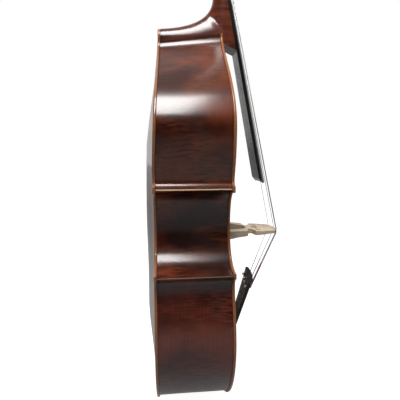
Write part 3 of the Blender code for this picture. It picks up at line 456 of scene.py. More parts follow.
@dataclass(frozen=True)
class Metal:
    """Metal with a turned, drawn or wound surface."""

    name: str
    color: Color
    shade: Color
    roughness: float
    windings: float = 0.0

    def make(self) -> bpy.types.Material:
        """Builds the material.

        Returns:
            The finished material.
        """
        p = Paint(self.name, roughness=self.roughness, metallic=1.0)
        t = p.t
        where = p.where(Grain.UP)
        handling = p.group(wear_group, {"Vector": where, "Scale": 60.0}).outputs
        p.wire(t.blend(handling["Smudge"], self.color, self.shade), "Base Color")
        p.wire(t.math("ADD", self.roughness, t.math("MULTIPLY", handling["Smudge"], 0.22)), "Roughness")
        if self.windings:
            along = t.add("Attribute", attribute_name="along").outputs["Fac"]
            turn = t.math("FRACT", t.math("MULTIPLY", along, self.windings))
            p.bump(t.math("ABSOLUTE", t.math("SUBTRACT", turn, 0.5)), 0.0002)
        else:
            p.bump(handling["Height"], 0.0001)
        return p.material


@dataclass(frozen=True)
class Thread:
    """Silk or cord wound round a string's end, or the tail loop, with painted shade in the grooves between its turns.
    """

    name: str
    color: Color
    windings: float = 1500.0

    def make(self) -> bpy.types.Material:
        """Builds the material.

        Returns:
            The finished material.
        """
        p = Paint(self.name, roughness=0.55)
        t = p.t
        along = t.add("Attribute", attribute_name="along").outputs["Fac"]
        turn = t.math("ABSOLUTE", t.math("SUBTRACT", t.math("FRACT", t.math("MULTIPLY", along, self.windings)), 0.5))
        # Painted shade: each winding is darkened towards the groove between turns, following the same pattern as the
        # bump.
        p.wire(t.blend(turn, self.color, tuple(0.45 * c for c in self.color)), "Base Color")
        p.shader.inputs["Sheen Weight"].default_value = 0.4
        p.bump(turn, 0.0003)
        return p.material


@dataclass(frozen=True)
class Rubber:
    """Moulded black rubber with a dusty bloom."""

    name: str = "rubber"

    def make(self) -> bpy.types.Material:
        """Builds the material.

        Returns:
            The finished material.
        """
        p = Paint(self.name, roughness=0.8)
        t = p.t
        handling = p.group(wear_group, {"Vector": p.where(Grain.UP), "Scale": 90.0}).outputs
        p.wire(t.blend(handling["Smudge"], (0.018, 0.018, 0.018), (0.06, 0.055, 0.05)), "Base Color")
        p.bump(handling["Smudge"], 0.0003)
        return p.material


# ---- mesh tools ----------------------------------------------------------------------------
def loft(rings: Sequence[Sequence[Vector]], marks: Sequence[float] = ()) -> bmesh.types.BMesh:
    """Extrudes a face from ring to ring.

    Args:
        rings: the outlines, all with the same number of points.
        marks: a distance for each ring, kept on its points as the attribute "along".

    Returns:
        A closed mesh with flat ends.
    """
    bm = bmesh.new()
    mark = bm.verts.layers.float.new("along")
    end = bm.faces.new([bm.verts.new(point) for point in rings[0]])
    for number, ring in enumerate(rings):
        if number:
            made = bmesh.ops.extrude_face_region(bm, geom=[end])["geom"]
            if number > 1:
                bmesh.ops.delete(bm, geom=[end], context="FACES_ONLY")
            end = next(item for item in made if isinstance(item, bmesh.types.BMFace))
            before = rings[number - 1]
            order = [min(range(len(ring)), key=lambda k: (v.co - before[k]).length_squared) for v in end.verts]
            for vert, index in zip(end.verts, order):
                vert.co = ring[index]
        for vert in end.verts:
            vert[mark] = marks[number] if marks else 0.0
    return bm


def prism(outline: Sequence[Vector], start: Vector, end: Vector) -> bmesh.types.BMesh:
    """Extrudes an outline from one offset to another."""
    return loft([[p + start for p in outline], [p + end for p in outline]])


def slab(low: Vector, high: Vector) -> bmesh.types.BMesh:
    """A box between two corners, whichever way round they are."""
    bm = bmesh.new()
    middle = (low + high) / 2
    size = Vector(abs(a - b) for a, b in zip(low, high))
    bmesh.ops.create_cube(bm, size=1.0, matrix=Matrix.Translation(middle) @ Matrix.Diagonal((*size, 1.0)))
    return bm


# The seam's last step misses its first by over 1e-6 m up at the scroll, and no profile has steps under 1e-4 m.
SEAM_WELD = 1e-5


def turned(profile: Sequence[tuple[float, float]], axis: Vector, centre: Vector, sides: int = 32) -> bmesh.types.BMesh:
    """Spins a profile on a lathe.

    Args:
        profile: (distance along the axis, radius) pairs; both ends are closed on the axis.
        axis: the direction that the distances run in.
        centre: where the distance is 0.
        sides: how many steps make the full turn.

    Returns:
        A closed mesh.
    """
    bm = bmesh.new()
    axis = axis.normalized()
    out = axis.orthogonal().normalized()
    points = [(profile[0][0], 0.0), *profile, (profile[-1][0], 0.0)]
    verts = [bm.verts.new(centre + axis * along + out * radius) for along, radius in points]
    edges = [bm.edges.new(pair) for pair in zip(verts, verts[1:])]
    bmesh.ops.spin(bm, geom=verts + edges, cent=centre, axis=axis, dvec=(0, 0, 0), angle=2 * math.pi,
                   steps=sides, use_merge=True, use_duplicate=False)
    bmesh.ops.remove_doubles(bm, verts=bm.verts[:], dist=SEAM_WELD)
    return bm


def tube(points: Sequence[Vector], radii: Sequence[float], sides: int) -> bmesh.types.BMesh:
    """A round tube along a path, each point with its own radius, marked with the distance along it."""
    rings, marks, side, run = [], [], None, 0.0
    for i, point in enumerate(points):
        ahead = (points[min(i + 1, len(points) - 1)] - points[max(i - 1, 0)]).normalized()
        side = side or ahead.orthogonal()
        side = (side - ahead * side.dot(ahead)).normalized()
        up = ahead.cross(side)
        turns = [2 * math.pi * k / sides for k in range(sides)]
        rings.append([point + (side * math.cos(a) + up * math.sin(a)) * radii[i] for a in turns])
        run += (point - points[i - 1]).length if i else 0.0
        marks.append(run)
    return loft(rings, marks)


def cad_copy(node: str) -> bmesh.types.BMesh:
    """A CAD node's mesh with its loose triangles joined and its flat faces made whole."""
    bm = bmesh.new()
    bm.from_mesh(frame["nodes"][node].data)
    bmesh.ops.remove_doubles(bm, verts=bm.verts[:], dist=2e-6)
    bmesh.ops.dissolve_limit(bm, angle_limit=math.radians(0.5), verts=bm.verts[:], edges=bm.edges[:])
    return bm


def loose(name: str, bm: bmesh.types.BMesh) -> bpy.types.Object:
    """Makes a bmesh an object with nothing on it yet."""
    bmesh.ops.recalc_face_normals(bm, faces=bm.faces[:])
    mesh = bpy.data.meshes.new(name)
    bm.to_mesh(mesh)
    bm.free()
    thing = bpy.data.objects.new(name, mesh)
    bpy.context.scene.collection.objects.link(thing)
    return thing


def volume(mesh: bpy.types.Mesh) -> float:
    """The volume that a closed mesh holds."""
    bm = bmesh.new()
    bm.from_mesh(mesh)
    found = bm.calc_volume(signed=True)
    bm.free()
    return found


def carved(name: str, body: bmesh.types.BMesh, joins: Sequence[bmesh.types.BMesh],
           cuts: Sequence[bmesh.types.BMesh], solver: str = "EXACT") -> bpy.types.Object:
    """Joins and cuts solids.

    Args:
        name: the result's name.
        body: what is worked on.
        joins: solids that become part of it.
        cuts: solids taken out of it afterwards.
        solver: the Boolean modifier's solver.

    Returns:
        One object with the result as its mesh.

    Raises:
        ValueError: if a solid handed in is open, or if the result has lost most of the volume that was joined.
    """
    for solid in (body, *joins, *cuts):
        if any(len(edge.link_faces) != 2 for edge in solid.edges):
            raise ValueError("%s is made from a solid that is open" % name)
    thing = loose(name, body)
    others = [(loose("join", bm), "UNION") for bm in joins] + [(loose("cut", bm), "DIFFERENCE") for bm in cuts]
    joined = volume(thing.data) + sum(volume(other.data) for other, operation in others if operation == "UNION")
    for other, operation in others:
        modifier = thing.modifiers.new(operation.lower(), "BOOLEAN")
        modifier.operation, modifier.solver, modifier.object = operation, solver, other
    graph = bpy.context.evaluated_depsgraph_get()
    mesh = bpy.data.meshes.new_from_object(thing.evaluated_get(graph))
    thing.modifiers.clear()
    old = thing.data
    thing.data = mesh
    bpy.data.meshes.remove(old)
    for other, _ in others:
        bpy.data.objects.remove(other, do_unlink=True)
    if volume(mesh) < 0.5 * joined:
        raise ValueError("%s lost most of its volume in a Boolean" % name)
    return thing


@dataclass
class Shop:
    """The workbench: it holds the finishes, and gives each piece its skin, body and place in the table."""

    finishes: dict[str, bpy.types.Material]
    pieces: list[str] = field(default_factory=list)

    def fit(self, thing: bpy.types.Object, finish: str, slot: str, body: str, nodes: Sequence[str] = (),
            bevel: float = 0.0, sharp: float = 35.0, segments: int = 2) -> bpy.types.Object:
        """Dresses a piece and hangs it on its body.

        Args:
            thing: the piece.
            finish: the name of its finish.
            slot: the record's material slot; not used.
            body: the CAD body that it rides on.
            nodes: CAD nodes that it stands for.
            bevel: the width of its eased edges, or 0.
            sharp: edges turned more than this many degrees stay sharp or are eased.
            segments: steps in an eased edge.

        Returns:
            The piece.
        """
        mesh = thing.data
        mesh.materials.clear()
        mesh.materials.append(self.finishes[finish])
        mesh.shade_smooth()
        mesh.set_sharp_from_angle(angle=math.radians(sharp))
        if bevel:
            ease = thing.modifiers.new("eased edges", "BEVEL")
            ease.width, ease.segments, ease.limit_method = bevel, segments, "ANGLE"
            ease.angle_limit, ease.harden_normals = math.radians(sharp), True
        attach(thing, body)
        if nodes:
            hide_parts(*nodes)
        self.pieces.append(thing.name)
        log.info("%s: %d faces, finish %s", thing.name, len(mesh.polygons), finish)
        return thing

    def dress(self, node: str, finish: str) -> None:
        """Gives a CAD node that keeps its shape a new skin."""
        mesh = frame["nodes"][node].data
        if not mesh.materials:
            mesh.materials.append(self.finishes[finish])
        for i in range(len(mesh.materials)):
            mesh.materials[i] = self.finishes[finish]
        log.info("%s: CAD node, finish %s", node, finish)


# ---- the sound box -------------------------------------------------------------------------
@dataclass
class Outline:
    """The line round the body, and the depths and arches that follow it."""

    length: float = 1.107
    overhang: float = 0.005
    lower_half: float = 0.302
    lower_z: float = 0.260
    lower_corner: float = 0.2865
    lower_corner_z: float = 0.448
    waist_half: float = 0.1905
    waist_z: float = 0.562
    upper_corner: float = 0.258
    upper_corner_z: float = 0.668
    upper_half: float = 0.2655
    upper_z: float = 0.816
    bottom_flat: float = 0.035
    shoulder_end: float = 0.037
    corner_half: float = 0.004
    corner_lip: float = 0.004
    depth_at_neck: float = 0.177
    back_top_drop: float = 0.0235
    block_reach: float = 0.060
    button_half: float = 0.028
    button_height: float = 0.041
    fineness: int = 4

    def ribs(self) -> dict[str, list[tuple[Vector, Vector]]]:
        """The treble half of the ribs' outer line, part by part, as points with tangents."""
        n = self.fineness
        low_tip = self.lower_corner_z - self.corner_half
        low_rise = self.lower_corner_z + self.corner_half
        high_dip = self.upper_corner_z - self.corner_half
        high_tip = self.upper_corner_z + self.corner_half
        half, z = self.lower_half, self.lower_z
        lower = bezier((self.bottom_flat, self.overhang), (0.19, self.overhang), (half, z / 2), (half, z), 7 * n)
        lower += bezier((half, z), (half, z + 0.09), (self.lower_corner - 0.045, low_tip - 0.024),
                        (self.lower_corner, low_tip), 6 * n)[1:]
        waist = bezier((self.lower_corner, low_rise), (self.lower_corner - 0.06, low_rise),
                       (self.waist_half, self.lower_corner_z + 0.05), (self.waist_half, self.waist_z), 6 * n)
        waist += bezier((self.waist_half, self.waist_z), (self.waist_half, self.upper_corner_z - 0.045),
                        (self.upper_corner - 0.05, high_dip), (self.upper_corner, high_dip), 6 * n)[1:]
        upper = bezier((self.upper_corner, high_tip), (self.upper_corner - 0.035, self.upper_corner_z + 0.02),
                       (self.upper_half, self.upper_z - 0.11), (self.upper_half, self.upper_z), 5 * n)
        upper += bezier((self.upper_half, self.upper_z), (self.upper_half, self.upper_z + 0.116),
                        (self.shoulder_end - 0.009, self.length - 0.055),
                        (self.shoulder_end, self.length - 0.004), 9 * n)[1:]
        return {"lower": lower, "waist": waist, "upper": upper}

    def plate(self) -> list[Vector]:
        """The treble half of a plate's edge, from the foot to the neck."""
        moved = {part: [p + Vector((t.y, -t.x)) * self.overhang for p, t in line] for part, line in self.ribs().items()}
        lower, waist, upper = moved["lower"], moved["waist"], moved["upper"]
        low_tip = self.lower_corner + self.overhang / 2 + self.corner_lip
        high_tip = self.upper_corner + self.overhang / 2 + self.corner_lip
        lower[-1] = Vector((low_tip, lower[-1].y + self.corner_lip / 2))
        waist[0] = Vector((low_tip, waist[0].y))
        waist[-1] = Vector((high_tip, waist[-1].y))
        upper[0] = Vector((high_tip, upper[0].y - self.corner_lip / 4))
        upper[-1] = Vector((upper[-1].x, self.length))
        return lower + waist + upper

    def button(self) -> list[Vector]:
        """The treble half of the back's button, from the plate's top to the middle."""
        found = [Vector((self.button_half, self.length + 0.0003))]
        for step in range(1, 13):
            turn = math.radians(90 * step / 12)
            rise = self.button_height - self.button_half + self.button_half * math.sin(turn)
            found.append(Vector((self.button_half * math.cos(turn), self.length + rise)))
        return found[:-1] + [Vector((0.0, self.length + self.button_height))]

    def taper(self, z: float) -> float:
        """How far the ribs have narrowed on the way to the neck, 0 to 1."""
        start = self.upper_corner_z + self.block_reach
        return clamp((z - start) / (self.length - start))

    def back_f(self, z: float) -> float:
        """f of the back plate's inner plane."""
        return -mix(2 * HALF_DEPTH, self.depth_at_neck, self.taper(z))

    def back_z(self, z: float) -> float:
        """Height on the back of what stands at z on the front."""
        return z - self.back_top_drop * self.taper(z) ** 2

    def reach(self, z: float) -> float:
        """How far in from the edge a plate's arch goes on rising at a height."""
        if z < self.waist_z:
            blend = clamp((z - self.lower_z) / (self.waist_z - self.lower_z))
            return mix(0.330, self.waist_half, 0.5 - 0.5 * math.cos(math.pi * blend))
        blend = clamp((z - self.waist_z) / (self.upper_z - self.waist_z))
        return mix(self.waist_half, 0.310, 0.5 - 0.5 * math.cos(math.pi * blend))


def distances(points: np.ndarray, line: Sequence[Vector]) -> np.ndarray:
    """The distance of each point to an open line.

    Args:
        points: x and z of each point.
        line: the line's points.

    Returns:
        One distance for each point.
    """
    a = np.array([p[:] for p in line[:-1]])
    along = np.array([p[:] for p in line[1:]]) - a
    length = np.maximum((along ** 2).sum(1), 1e-12)
    found = np.full(len(points), np.inf)
    for start, step, size in zip(a, along, length):
        t = np.clip(((points - start) @ step) / size, 0.0, 1.0)
        gap = points - start - t[:, None] * step
        found = np.minimum(found, np.sqrt((gap ** 2).sum(1)))
    return found


@dataclass
class SoundBox:
    """The carved plates and the ribs between them."""

    shop: Shop
    line: Outline = field(default_factory=Outline)
    edge: float = 0.008
    top_arch: float = 0.030
    back_arch: float = 0.029
    rib_wall: float = 0.0025
    glue_margin: float = 0.024
    rim_steps: tuple[float, ...] = (0.0006, 0.0008, 0.0012, 0.0016, 0.0020, 0.0012, 0.0014, 0.0012, 0.0040)
    cell: float = 0.019
    roundness: float = 0.0034
    channel: float = 0.0016
    root_half: float = 0.033
    root_bottom: float = 1.079
    saddle_half: float = 0.030
    saddle_depth: float = 0.012
    bridge_z: float = 0.500

    def blank(self, closed: Sequence[Vector]) -> bmesh.types.BMesh:
        """A flat blank of a plate's outline, cut into cells and with rings of faces along its rim."""
        bm = bmesh.new()
        face = bm.faces.new([bm.verts.new((p.x, 0.0, p.y)) for p in closed])
        for width in self.rim_steps:
            bmesh.ops.inset_individual(bm, faces=[face], thickness=width, use_even_offset=True)
        half = int(0.32 / self.cell)
        for i in range(-half, half + 1):
            geom = bm.verts[:] + bm.edges[:] + bm.faces[:]
            bmesh.ops.bisect_plane(bm, geom=geom, plane_co=(i * self.cell, 0, 0), plane_no=(1, 0, 0))
        for i in range(1, int(1.15 / self.cell)):
            geom = bm.verts[:] + bm.edges[:] + bm.faces[:]
            bmesh.ops.bisect_plane(bm, geom=geom, plane_co=(0, 0, i * self.cell), plane_no=(0, 0, 1))
        return bm

    def rises(self, where: np.ndarray, closed: Sequence[Vector], height: float) -> tuple[np.ndarray, ...]:
        """Heights of a plate at flat places.

        Args:
            where: x and z of each place.
            closed: the plate's whole edge, its first point repeated at the end.
            height: how high the arch stands.

        Returns:
            The outer face's height over the plate's inner plane, the inner face's, and the distance to the rim.
        """
        folded = np.abs(where[:, 0])
        near = distances(np.stack([folded, where[:, 1]], 1), self.line.plate())
        near = np.minimum(near, np.maximum(np.minimum(where[:, 1], self.line.length - where[:, 1]), 0.0))
        reach = np.array([self.line.reach(z) for z in where[:, 1]])
        rise = height * (0.5 - 0.5 * np.cos(np.pi * np.minimum(near / reach, 1.0)))
        hollow = rise * np.clip((near - self.glue_margin) / self.glue_margin, 0.0, 1.0)
        rim = distances(where, closed)
        rounding = self.roundness * (1 - np.sqrt(np.clip(1 - (1 - np.minimum(rim / self.roundness, 1)) ** 2, 0, 1)))
        dip = self.channel * np.exp(-((near - 0.015) / 0.006) ** 2)
        return self.edge + rise - rounding - dip, hollow + np.minimum(rounding, self.edge * 0.3), rim

    def lay(self, which: Face, x: float, z: float, height: float) -> Vector:
        """A point on a plate at a height over its inner plane, outwards."""
        if which is Face.TOP:
            return place(x, height, z)
        return place(x, self.line.back_f(z) - height, self.line.back_z(z))

    def f_hole(self, side: Side) -> bmesh.types.BMesh:
        """The cutter of one f-hole: a swelling stem on an S curve between two eyes."""
        z = self.bridge_z
        steps = 20
        centre = bezier((0.066, z + 0.082), (0.112, z + 0.118), (0.064, z - 0.118), (0.114, z - 0.086), steps)
        left, right = [], []
        for i, (point, ahead) in enumerate(centre):
            t = i / steps
            width = 0.0040 + 0.0020 * math.sin(math.pi * t)
            for end, eye in ((t, 0.0095), (1 - t, 0.0125)):
                reach = end / 0.09
                if reach < 1:
                    width = max(width, eye * math.sqrt(max(1 - (2 * reach - 1) ** 2, 0.12)))
            across = Vector((ahead.y, -ahead.x)) * width
            left.append(point + across)
            right.append(point - across)
        outline = [place(side.value * p.x, 0.0, p.y) for p in left + right[::-1]]
        return prism(outline, Vector((0, 0.02, 0)), Vector((0, -0.08, 0)))

    def carve(self, which: Face) -> bpy.types.Object:
        """Carves one plate.

        Args:
            which: the top or the back.

        Returns:
            The plate.
        """
        half = self.line.plate() + (self.line.button() if which is Face.BACK else [])
        mirrored = [Vector((-p.x, p.y)) for p in half[::-1] if p.x > 1e-9]
        closed = half + mirrored
        height = self.top_arch if which is Face.TOP else self.back_arch
        bm = self.blank(closed)
        outer = bm.verts[:]
        made = bmesh.ops.duplicate(bm, geom=bm.verts[:] + bm.edges[:] + bm.faces[:])["geom"]
        inner = [item for item in made if isinstance(item, bmesh.types.BMVert)]
        where = np.array([(v.co.x, v.co.z) for v in outer + inner])
        top, hollow, rim = self.rises(where, closed + closed[:1], height)
        count = len(outer)
        for i, vert in enumerate(outer):
            vert.co = self.lay(which, where[i][0], where[i][1], top[i])
        for i, vert in enumerate(inner, count):
            vert.co = self.lay(which, where[i][0], where[i][1], hollow[i])
        bmesh.ops.bridge_loops(bm, edges=[e for e in bm.edges if e.is_boundary])
        cuts = []
        if which is Face.TOP:
            cuts = [self.f_hole(side) for side in Side]
            root = self.root_half + GAP
            cuts.append(slab(place(-root, 0.02, self.root_bottom - GAP), place(root, -0.02, 1.2)))
            seat = self.saddle_half + GAP
            cuts.append(slab(place(-seat, 0.02, -0.01), place(seat, -0.02, self.saddle_depth + GAP)))
        plate = carved("carved_" + which.name.lower(), bm, (), cuts, "MANIFOLD")
        self.mark_rim(plate, which, closed + closed[:1])
        finish = "varnished_spruce" if which is Face.TOP else "back_maple"
        return self.shop.fit(plate, finish, which.name.lower(), "instrument", [which.value], sharp=50)

    def mark_rim(self, plate: bpy.types.Object, which: Face, closed: Sequence[Vector]) -> None:
        """Keeps each point's distance to the rim as the attribute "edge"."""
        mesh = plate.data
        co = np.zeros(len(mesh.vertices) * 3, np.float32)
        mesh.vertices.foreach_get("co", co)
        co = co.reshape(-1, 3)
        flat = np.stack([co[:, 0], co[:, 2] - RISE], 1).astype(float)
        if which is Face.BACK:
            drop = np.array([z - self.line.back_z(z) for z in flat[:, 1]])
            flat[:, 1] += drop
        attribute = mesh.attributes.new("edge", "FLOAT", "POINT")
        attribute.data.foreach_set("value", distances(flat, closed).astype(np.float32))

    def bend_rib(self, part: str, side: Side) -> bpy.types.Object:
        """Bends one rib, slightly uneven in its width as bent maple is.

        Args:
            part: lower, waist or upper.
            side: bass or treble.

        Returns:
            The rib.
        """
        line = self.line.ribs()[part]
        if part == "lower":
            line = [(Vector((GAP / 2, line[0][0].y)), Vector((1, 0)))] + line
        rings, marks, run = [], [], 0.0
        shares = (0.0, 0.2, 0.4, 0.6, 0.8, 1.0)
        for i, (point, ahead) in enumerate(line):
            run += (point - line[i - 1][0]).length if i else 0.0
            marks.append(run)
            inward = Vector((-ahead.y, ahead.x))
            ring = []
            for share in shares:
                wave = 0.00035 * math.sin(math.pi * share) * (1 + math.sin(23 * run + 4 * share + side.value))
                p = point + inward * wave
                ring.append(self.across(side, p, share))
            ring += [self.across(side, point + inward * self.rib_wall, share) for share in (1.0, 0.0)]
            rings.append(ring)
        bm = loft(rings, marks)
        cuts = []
        if part == "lower":
            cuts.append(turned([(-0.02, 0.0128), (0.15, 0.0128)], Vector((0, 0, 1)), place(0, -HALF_DEPTH, 0)))
        word = side.name.lower()
        rib = carved("bent_rib_%s_%s" % (part, word), bm, (), cuts)
        # Each rib takes its own copy of the maple finish, toned with painted light and shade for its part.
        return self.shop.fit(rib, "rib_maple_" + part, "ribs", "instrument", ["rib_%s_%s" % (part, word)], sharp=50)

    def across(self, side: Side, point: Vector, share: float) -> Vector:
        """A point on a rib's line, some share of the way from the top plate to the back."""
        front = place(side.value * point.x, -GAP, point.y)
        back = place(side.value * point.x, self.line.back_f(point.y) + GAP, self.line.back_z(point.y))
        return front.lerp(back, share)

    def build(self) -> None:
        """Makes the plates and ribs, and dresses what is inside."""
        for which in Face:
            self.carve(which)
        for side in Side:
            for part in ("lower", "waist", "upper"):
                self.bend_rib(part, side)
        for node in frame["nodes"]:
            if node.startswith(("corner_block", "lining", "neck_block", "end_block", "bass_bar", "sound_post")):
                self.shop.dress(node, "planed_spruce")


# ---- neck, head and fingerboard ------------------------------------------------------------
@dataclass
class Board:
    """The fingerboard's lines, which the neck and strings follow too."""

    nut_z: float = 1.540
    end_z: float = 0.660
    half_nut: float = 0.0215
    half_end: float = 0.0465
    radius: float = 0.070
    side: float = 0.008
    crest_nut: float = -0.033
    crest_end: float = 0.156
    cove: float = 0.014

    def share(self, z: float) -> float:
        """0 at the nut, 1 at the free end."""
        return (self.nut_z - z) / (self.nut_z - self.end_z)

    def half(self, z: float) -> float:
        """Half width at a height."""
        return mix(self.half_nut, self.half_end, self.share(z))

    def crest(self, z: float) -> float:
        """f of the middle of its round face."""
        return mix(self.crest_nut, self.crest_end, self.share(z))

    def under(self, z: float) -> float:
        """f of its flat underside."""
        nut = self.crest_nut - sag(self.half_nut, self.radius) - self.side
        end = self.crest_end - sag(self.half_end, self.radius) - self.side
        return mix(nut, end, self.share(z))


@dataclass
class Neck:
    """The neck with its heel, pegbox and scroll, the fingerboard and the nut."""

    shop: Shop
    board: Board
    line: Outline
    thick_nut: float = 0.024
    thick_heel: float = 0.036
    heel_top: float = 1.230
    heel_end: float = 1.125
    foot_bottom: float = 1.062
    root_half: float = 0.033
    root_bottom: float = 1.079
    edge: float = 0.008
    nut_thick: float = 0.010
    nut_rise: float = 0.0016
    lean: float = 0.30
    box_half: float = 0.031
    box_wall: float = 0.013
    scroll_centre: tuple[float, float] = (-0.099, 1.777)
    scroll_radius: float = 0.043

    def section(self, base: Vector, tip: Vector, half: float, straight: float) -> list[Vector]:
        """A D: straight sides from the base, then a round back to the tip."""
        points = [place(-half, *base)]
        steps = 16
        for i in range(steps + 1):
            turn = math.pi * i / steps
            along = straight + (1 - straight) * math.sin(turn)
            spot = base.lerp(tip, along)
            points.append(place(-half * math.cos(turn), *spot))
        return points + [place(half, *base)]

    def shaft(self) -> bmesh.types.BMesh:
        """The neck's shaft, heel and root as one loft from the nut to the back."""
        top = self.board.nut_z + self.nut_thick + 0.010
        rings = []
        for i in range(16):
            z = mix(top, self.heel_top, i / 16)
            share = min((self.board.nut_z - z) / (self.board.nut_z - self.heel_top), 1.0)
            base = self.board.under(z) - GAP
            thick = mix(self.thick_nut, self.thick_heel, share)
            rings.append(self.section(Vector((base, z)), Vector((base - thick, z)), self.board.half(z) - GAP, 0.2))
        tip = (self.board.under(self.heel_top) - GAP - self.thick_heel, self.heel_top)
        lean = (self.thick_heel - self.thick_nut) / (self.board.nut_z - self.heel_top) + 0.11
        end = self.line.back_f(self.line.length) + GAP
        curve = bezier(tip, (tip[0] + 0.07 * lean, self.heel_top - 0.07), (end + 0.095, self.heel_end + 0.006),
                       (end, self.heel_end), 48)
        for i in range(49):
            base = self.root_line(i / 4, end)
            narrow = min(self.board.half(base.y) - GAP, self.root_half)
            half = mix(narrow, self.root_half, clamp(i / 4 - 3)) if i < 16 else self.root_half
            rings.append(self.section(base, curve[i][0], half, mix(0.2, 0.3, i / 48)))
        return loft(rings, [ring[0].z for ring in rings])

    def root_line(self, step: float, end: float) -> Vector:
        """A point on the neck's inner line: down the glue face, round the toe and along the root."""
        heights = (self.heel_top, 1.185, 1.145, 1.105, self.foot_bottom)
        stops = [Vector((self.board.under(z) - GAP, z)) for z in heights]
        stops += [Vector((self.edge + 0.006, self.root_bottom)), Vector((-GAP, self.root_bottom))]
        stops += [Vector((mix(-GAP, end, i / 6), self.root_bottom)) for i in range(1, 7)]
        low = min(int(step), len(stops) - 2)
        return stops[low].lerp(stops[low + 1], step - low)

    def front(self, z: float) -> float:
        """f of the pegbox's open face."""
        foot = self.board.nut_z + self.nut_thick
        return self.board.under(foot) - self.lean * (z - foot)

    def pegbox(self) -> bmesh.types.BMesh:
        """The pegbox with its rounded back and swelling cheeks."""
        stations = ((0.0105, 0.034, 0.0225), (0.018, 0.040, 0.029), (0.028, 0.045, self.box_half),
                    (0.070, 0.047, self.box_half), (0.120, 0.044, self.box_half), (0.165, 0.040, self.box_half),
                    (0.190, 0.037, 0.0255), (0.212, 0.036, 0.022))
        rings = []
        for rise, depth, half in stations:
            z = self.board.nut_z + rise
            front = self.front(z)
            ring = [place(-half, front, z), place(half, front, z)]
            for i in range(9):
                turn = math.pi * i / 8
                pull = 0.009 * (1 - math.sin(turn))
                ring.append(place(half * math.copysign(abs(math.cos(turn)) ** 0.5, math.cos(turn)),
                                  front - depth + pull, z))
            rings.append(ring)
        return loft(rings, [ring[0].z for ring in rings])

    def channel(self) -> bmesh.types.BMesh:
        """The slot that the strings run down into."""
        rings = []
        for rise, depth in ((0.017, 0.002), (0.026, 0.010), (0.035, 0.026), (0.044, 0.034), (0.070, 0.036),
                            (0.120, 0.033), (0.162, 0.026)):
            z = self.board.nut_z + rise
            half = self.box_half - self.box_wall
            front = self.front(z)
            corners = ((-half, 0.02), (half, 0.02), (half, -depth), (-half, -depth))
            rings.append([place(x, front + out, z) for x, out in corners])
        return loft(rings)

    def scroll(self) -> bpy.types.Object:
        """The volute: a tapering band wound inwards round the eye, standing prouder at each turn."""
        rings, marks = [], []
        steps, turns = 96, 2.35
        centre_f, centre_z = self.scroll_centre
        for i in range(steps + 1):
            t = i / steps
            turn = math.radians(-118) + 2 * math.pi * turns * t
            outer = self.scroll_radius * (1 - t) ** 0.9 + 0.0085
            outer = min(outer, self.scroll_radius)
            deep = mix(0.019, 0.0065, t ** 0.8)
            half = mix(0.0205, 0.0325, t ** 0.75)
            ring = []
            for radius, x in ((outer, -half + 0.0025), (outer - 0.0018, -half), (outer - deep + 0.001, -half),
                              (outer - deep, -half + 0.002), (outer - deep, half - 0.002),
                              (outer - deep + 0.001, half), (outer - 0.0018, half), (outer, half - 0.0025),
                              (outer - 0.0014, 0.0)):
                ring.append(place(x, centre_f + radius * math.cos(turn), centre_z + radius * math.sin(turn)))
            rings.append(ring)
            marks.append(0.3 * t)
        bm = loft(rings, marks)
        eye = turned([(-0.0335, 0.007), (-0.0330, 0.0085), (0.0330, 0.0085), (0.0335, 0.007)], Vector((1, 0, 0)),
                     place(0, centre_f, centre_z), 32)
        mesh = bpy.data.meshes.new("eye")
        eye.to_mesh(mesh)
        eye.free()
        bm.from_mesh(mesh)
        bpy.data.meshes.remove(mesh)
        return self.shop.fit(loose("scroll_volute", bm), "neck_maple", "neck", "instrument", sharp=40)

    def fingerboard(self) -> bpy.types.Object:
        """The fingerboard, round on its face and coved at its free end."""
        rings, marks = [], []
        heights = [mix(self.board.nut_z, self.board.end_z, i / 12) for i in range(13)]
        for z in heights:
            half = self.board.half(z)
            xs = [mix(-half, half, k / 24) for k in range(25)]
            ring = [place(x, self.board.crest(z) - sag(x, self.board.radius), z) for x in xs]
            cove = self.board.cove if z == heights[-1] else 0.0
            ring += [place(half, self.board.under(z + cove), z + cove), place(-half, self.board.under(z + cove), z + cove)]
            rings.append(ring)
            marks.append(z)
        board = loose("long_fingerboard", loft(rings, marks))
        return self.shop.fit(board, "ebony", "ebony", "instrument", ["fingerboard"], bevel=0.0009, sharp=40)

    def nut(self) -> bpy.types.Object:
        """The nut, eased at the front and notched for each string."""
        rings = []
        foot = self.board.nut_z
        for z, drop in ((foot + GAP, 0.0), (foot + self.nut_thick - 0.003, 0.0), (foot + self.nut_thick, 0.003)):
            half = self.board.half_nut
            xs = [mix(-half, half, k / 16) for k in range(17)]
            rise = self.board.crest_nut + self.nut_rise - drop
            ring = [place(x, rise - sag(x, self.board.radius), z) for x in xs]
            under = self.board.under(z) + GAP
            rings.append(ring + [place(half, under, z), place(-half, under, z)])
        nut = loose("string_nut", loft(rings))
        return self.shop.fit(nut, "ebony", "ebony", "instrument", ["nut"], bevel=0.0008, sharp=40)

    def build(self) -> None:
        """Makes the neck, scroll, fingerboard and nut."""
        holes = []
        for joint in frame["joints"]:
            if joint["name"].startswith("peg_"):
                holes.append(turned([(-0.06, 0.0068), (0.06, 0.0068)], Vector((1, 0, 0)), Vector(joint["pos_m"]), 24))
        neck = carved("carved_neck", self.shaft(), [self.pegbox()], [self.channel(), *holes])
        self.shop.fit(neck, "neck_maple", "neck", "instrument", ["neck"], bevel=0.0009, sharp=45)
        self.scroll()
        self.fingerboard()
        self.nut()


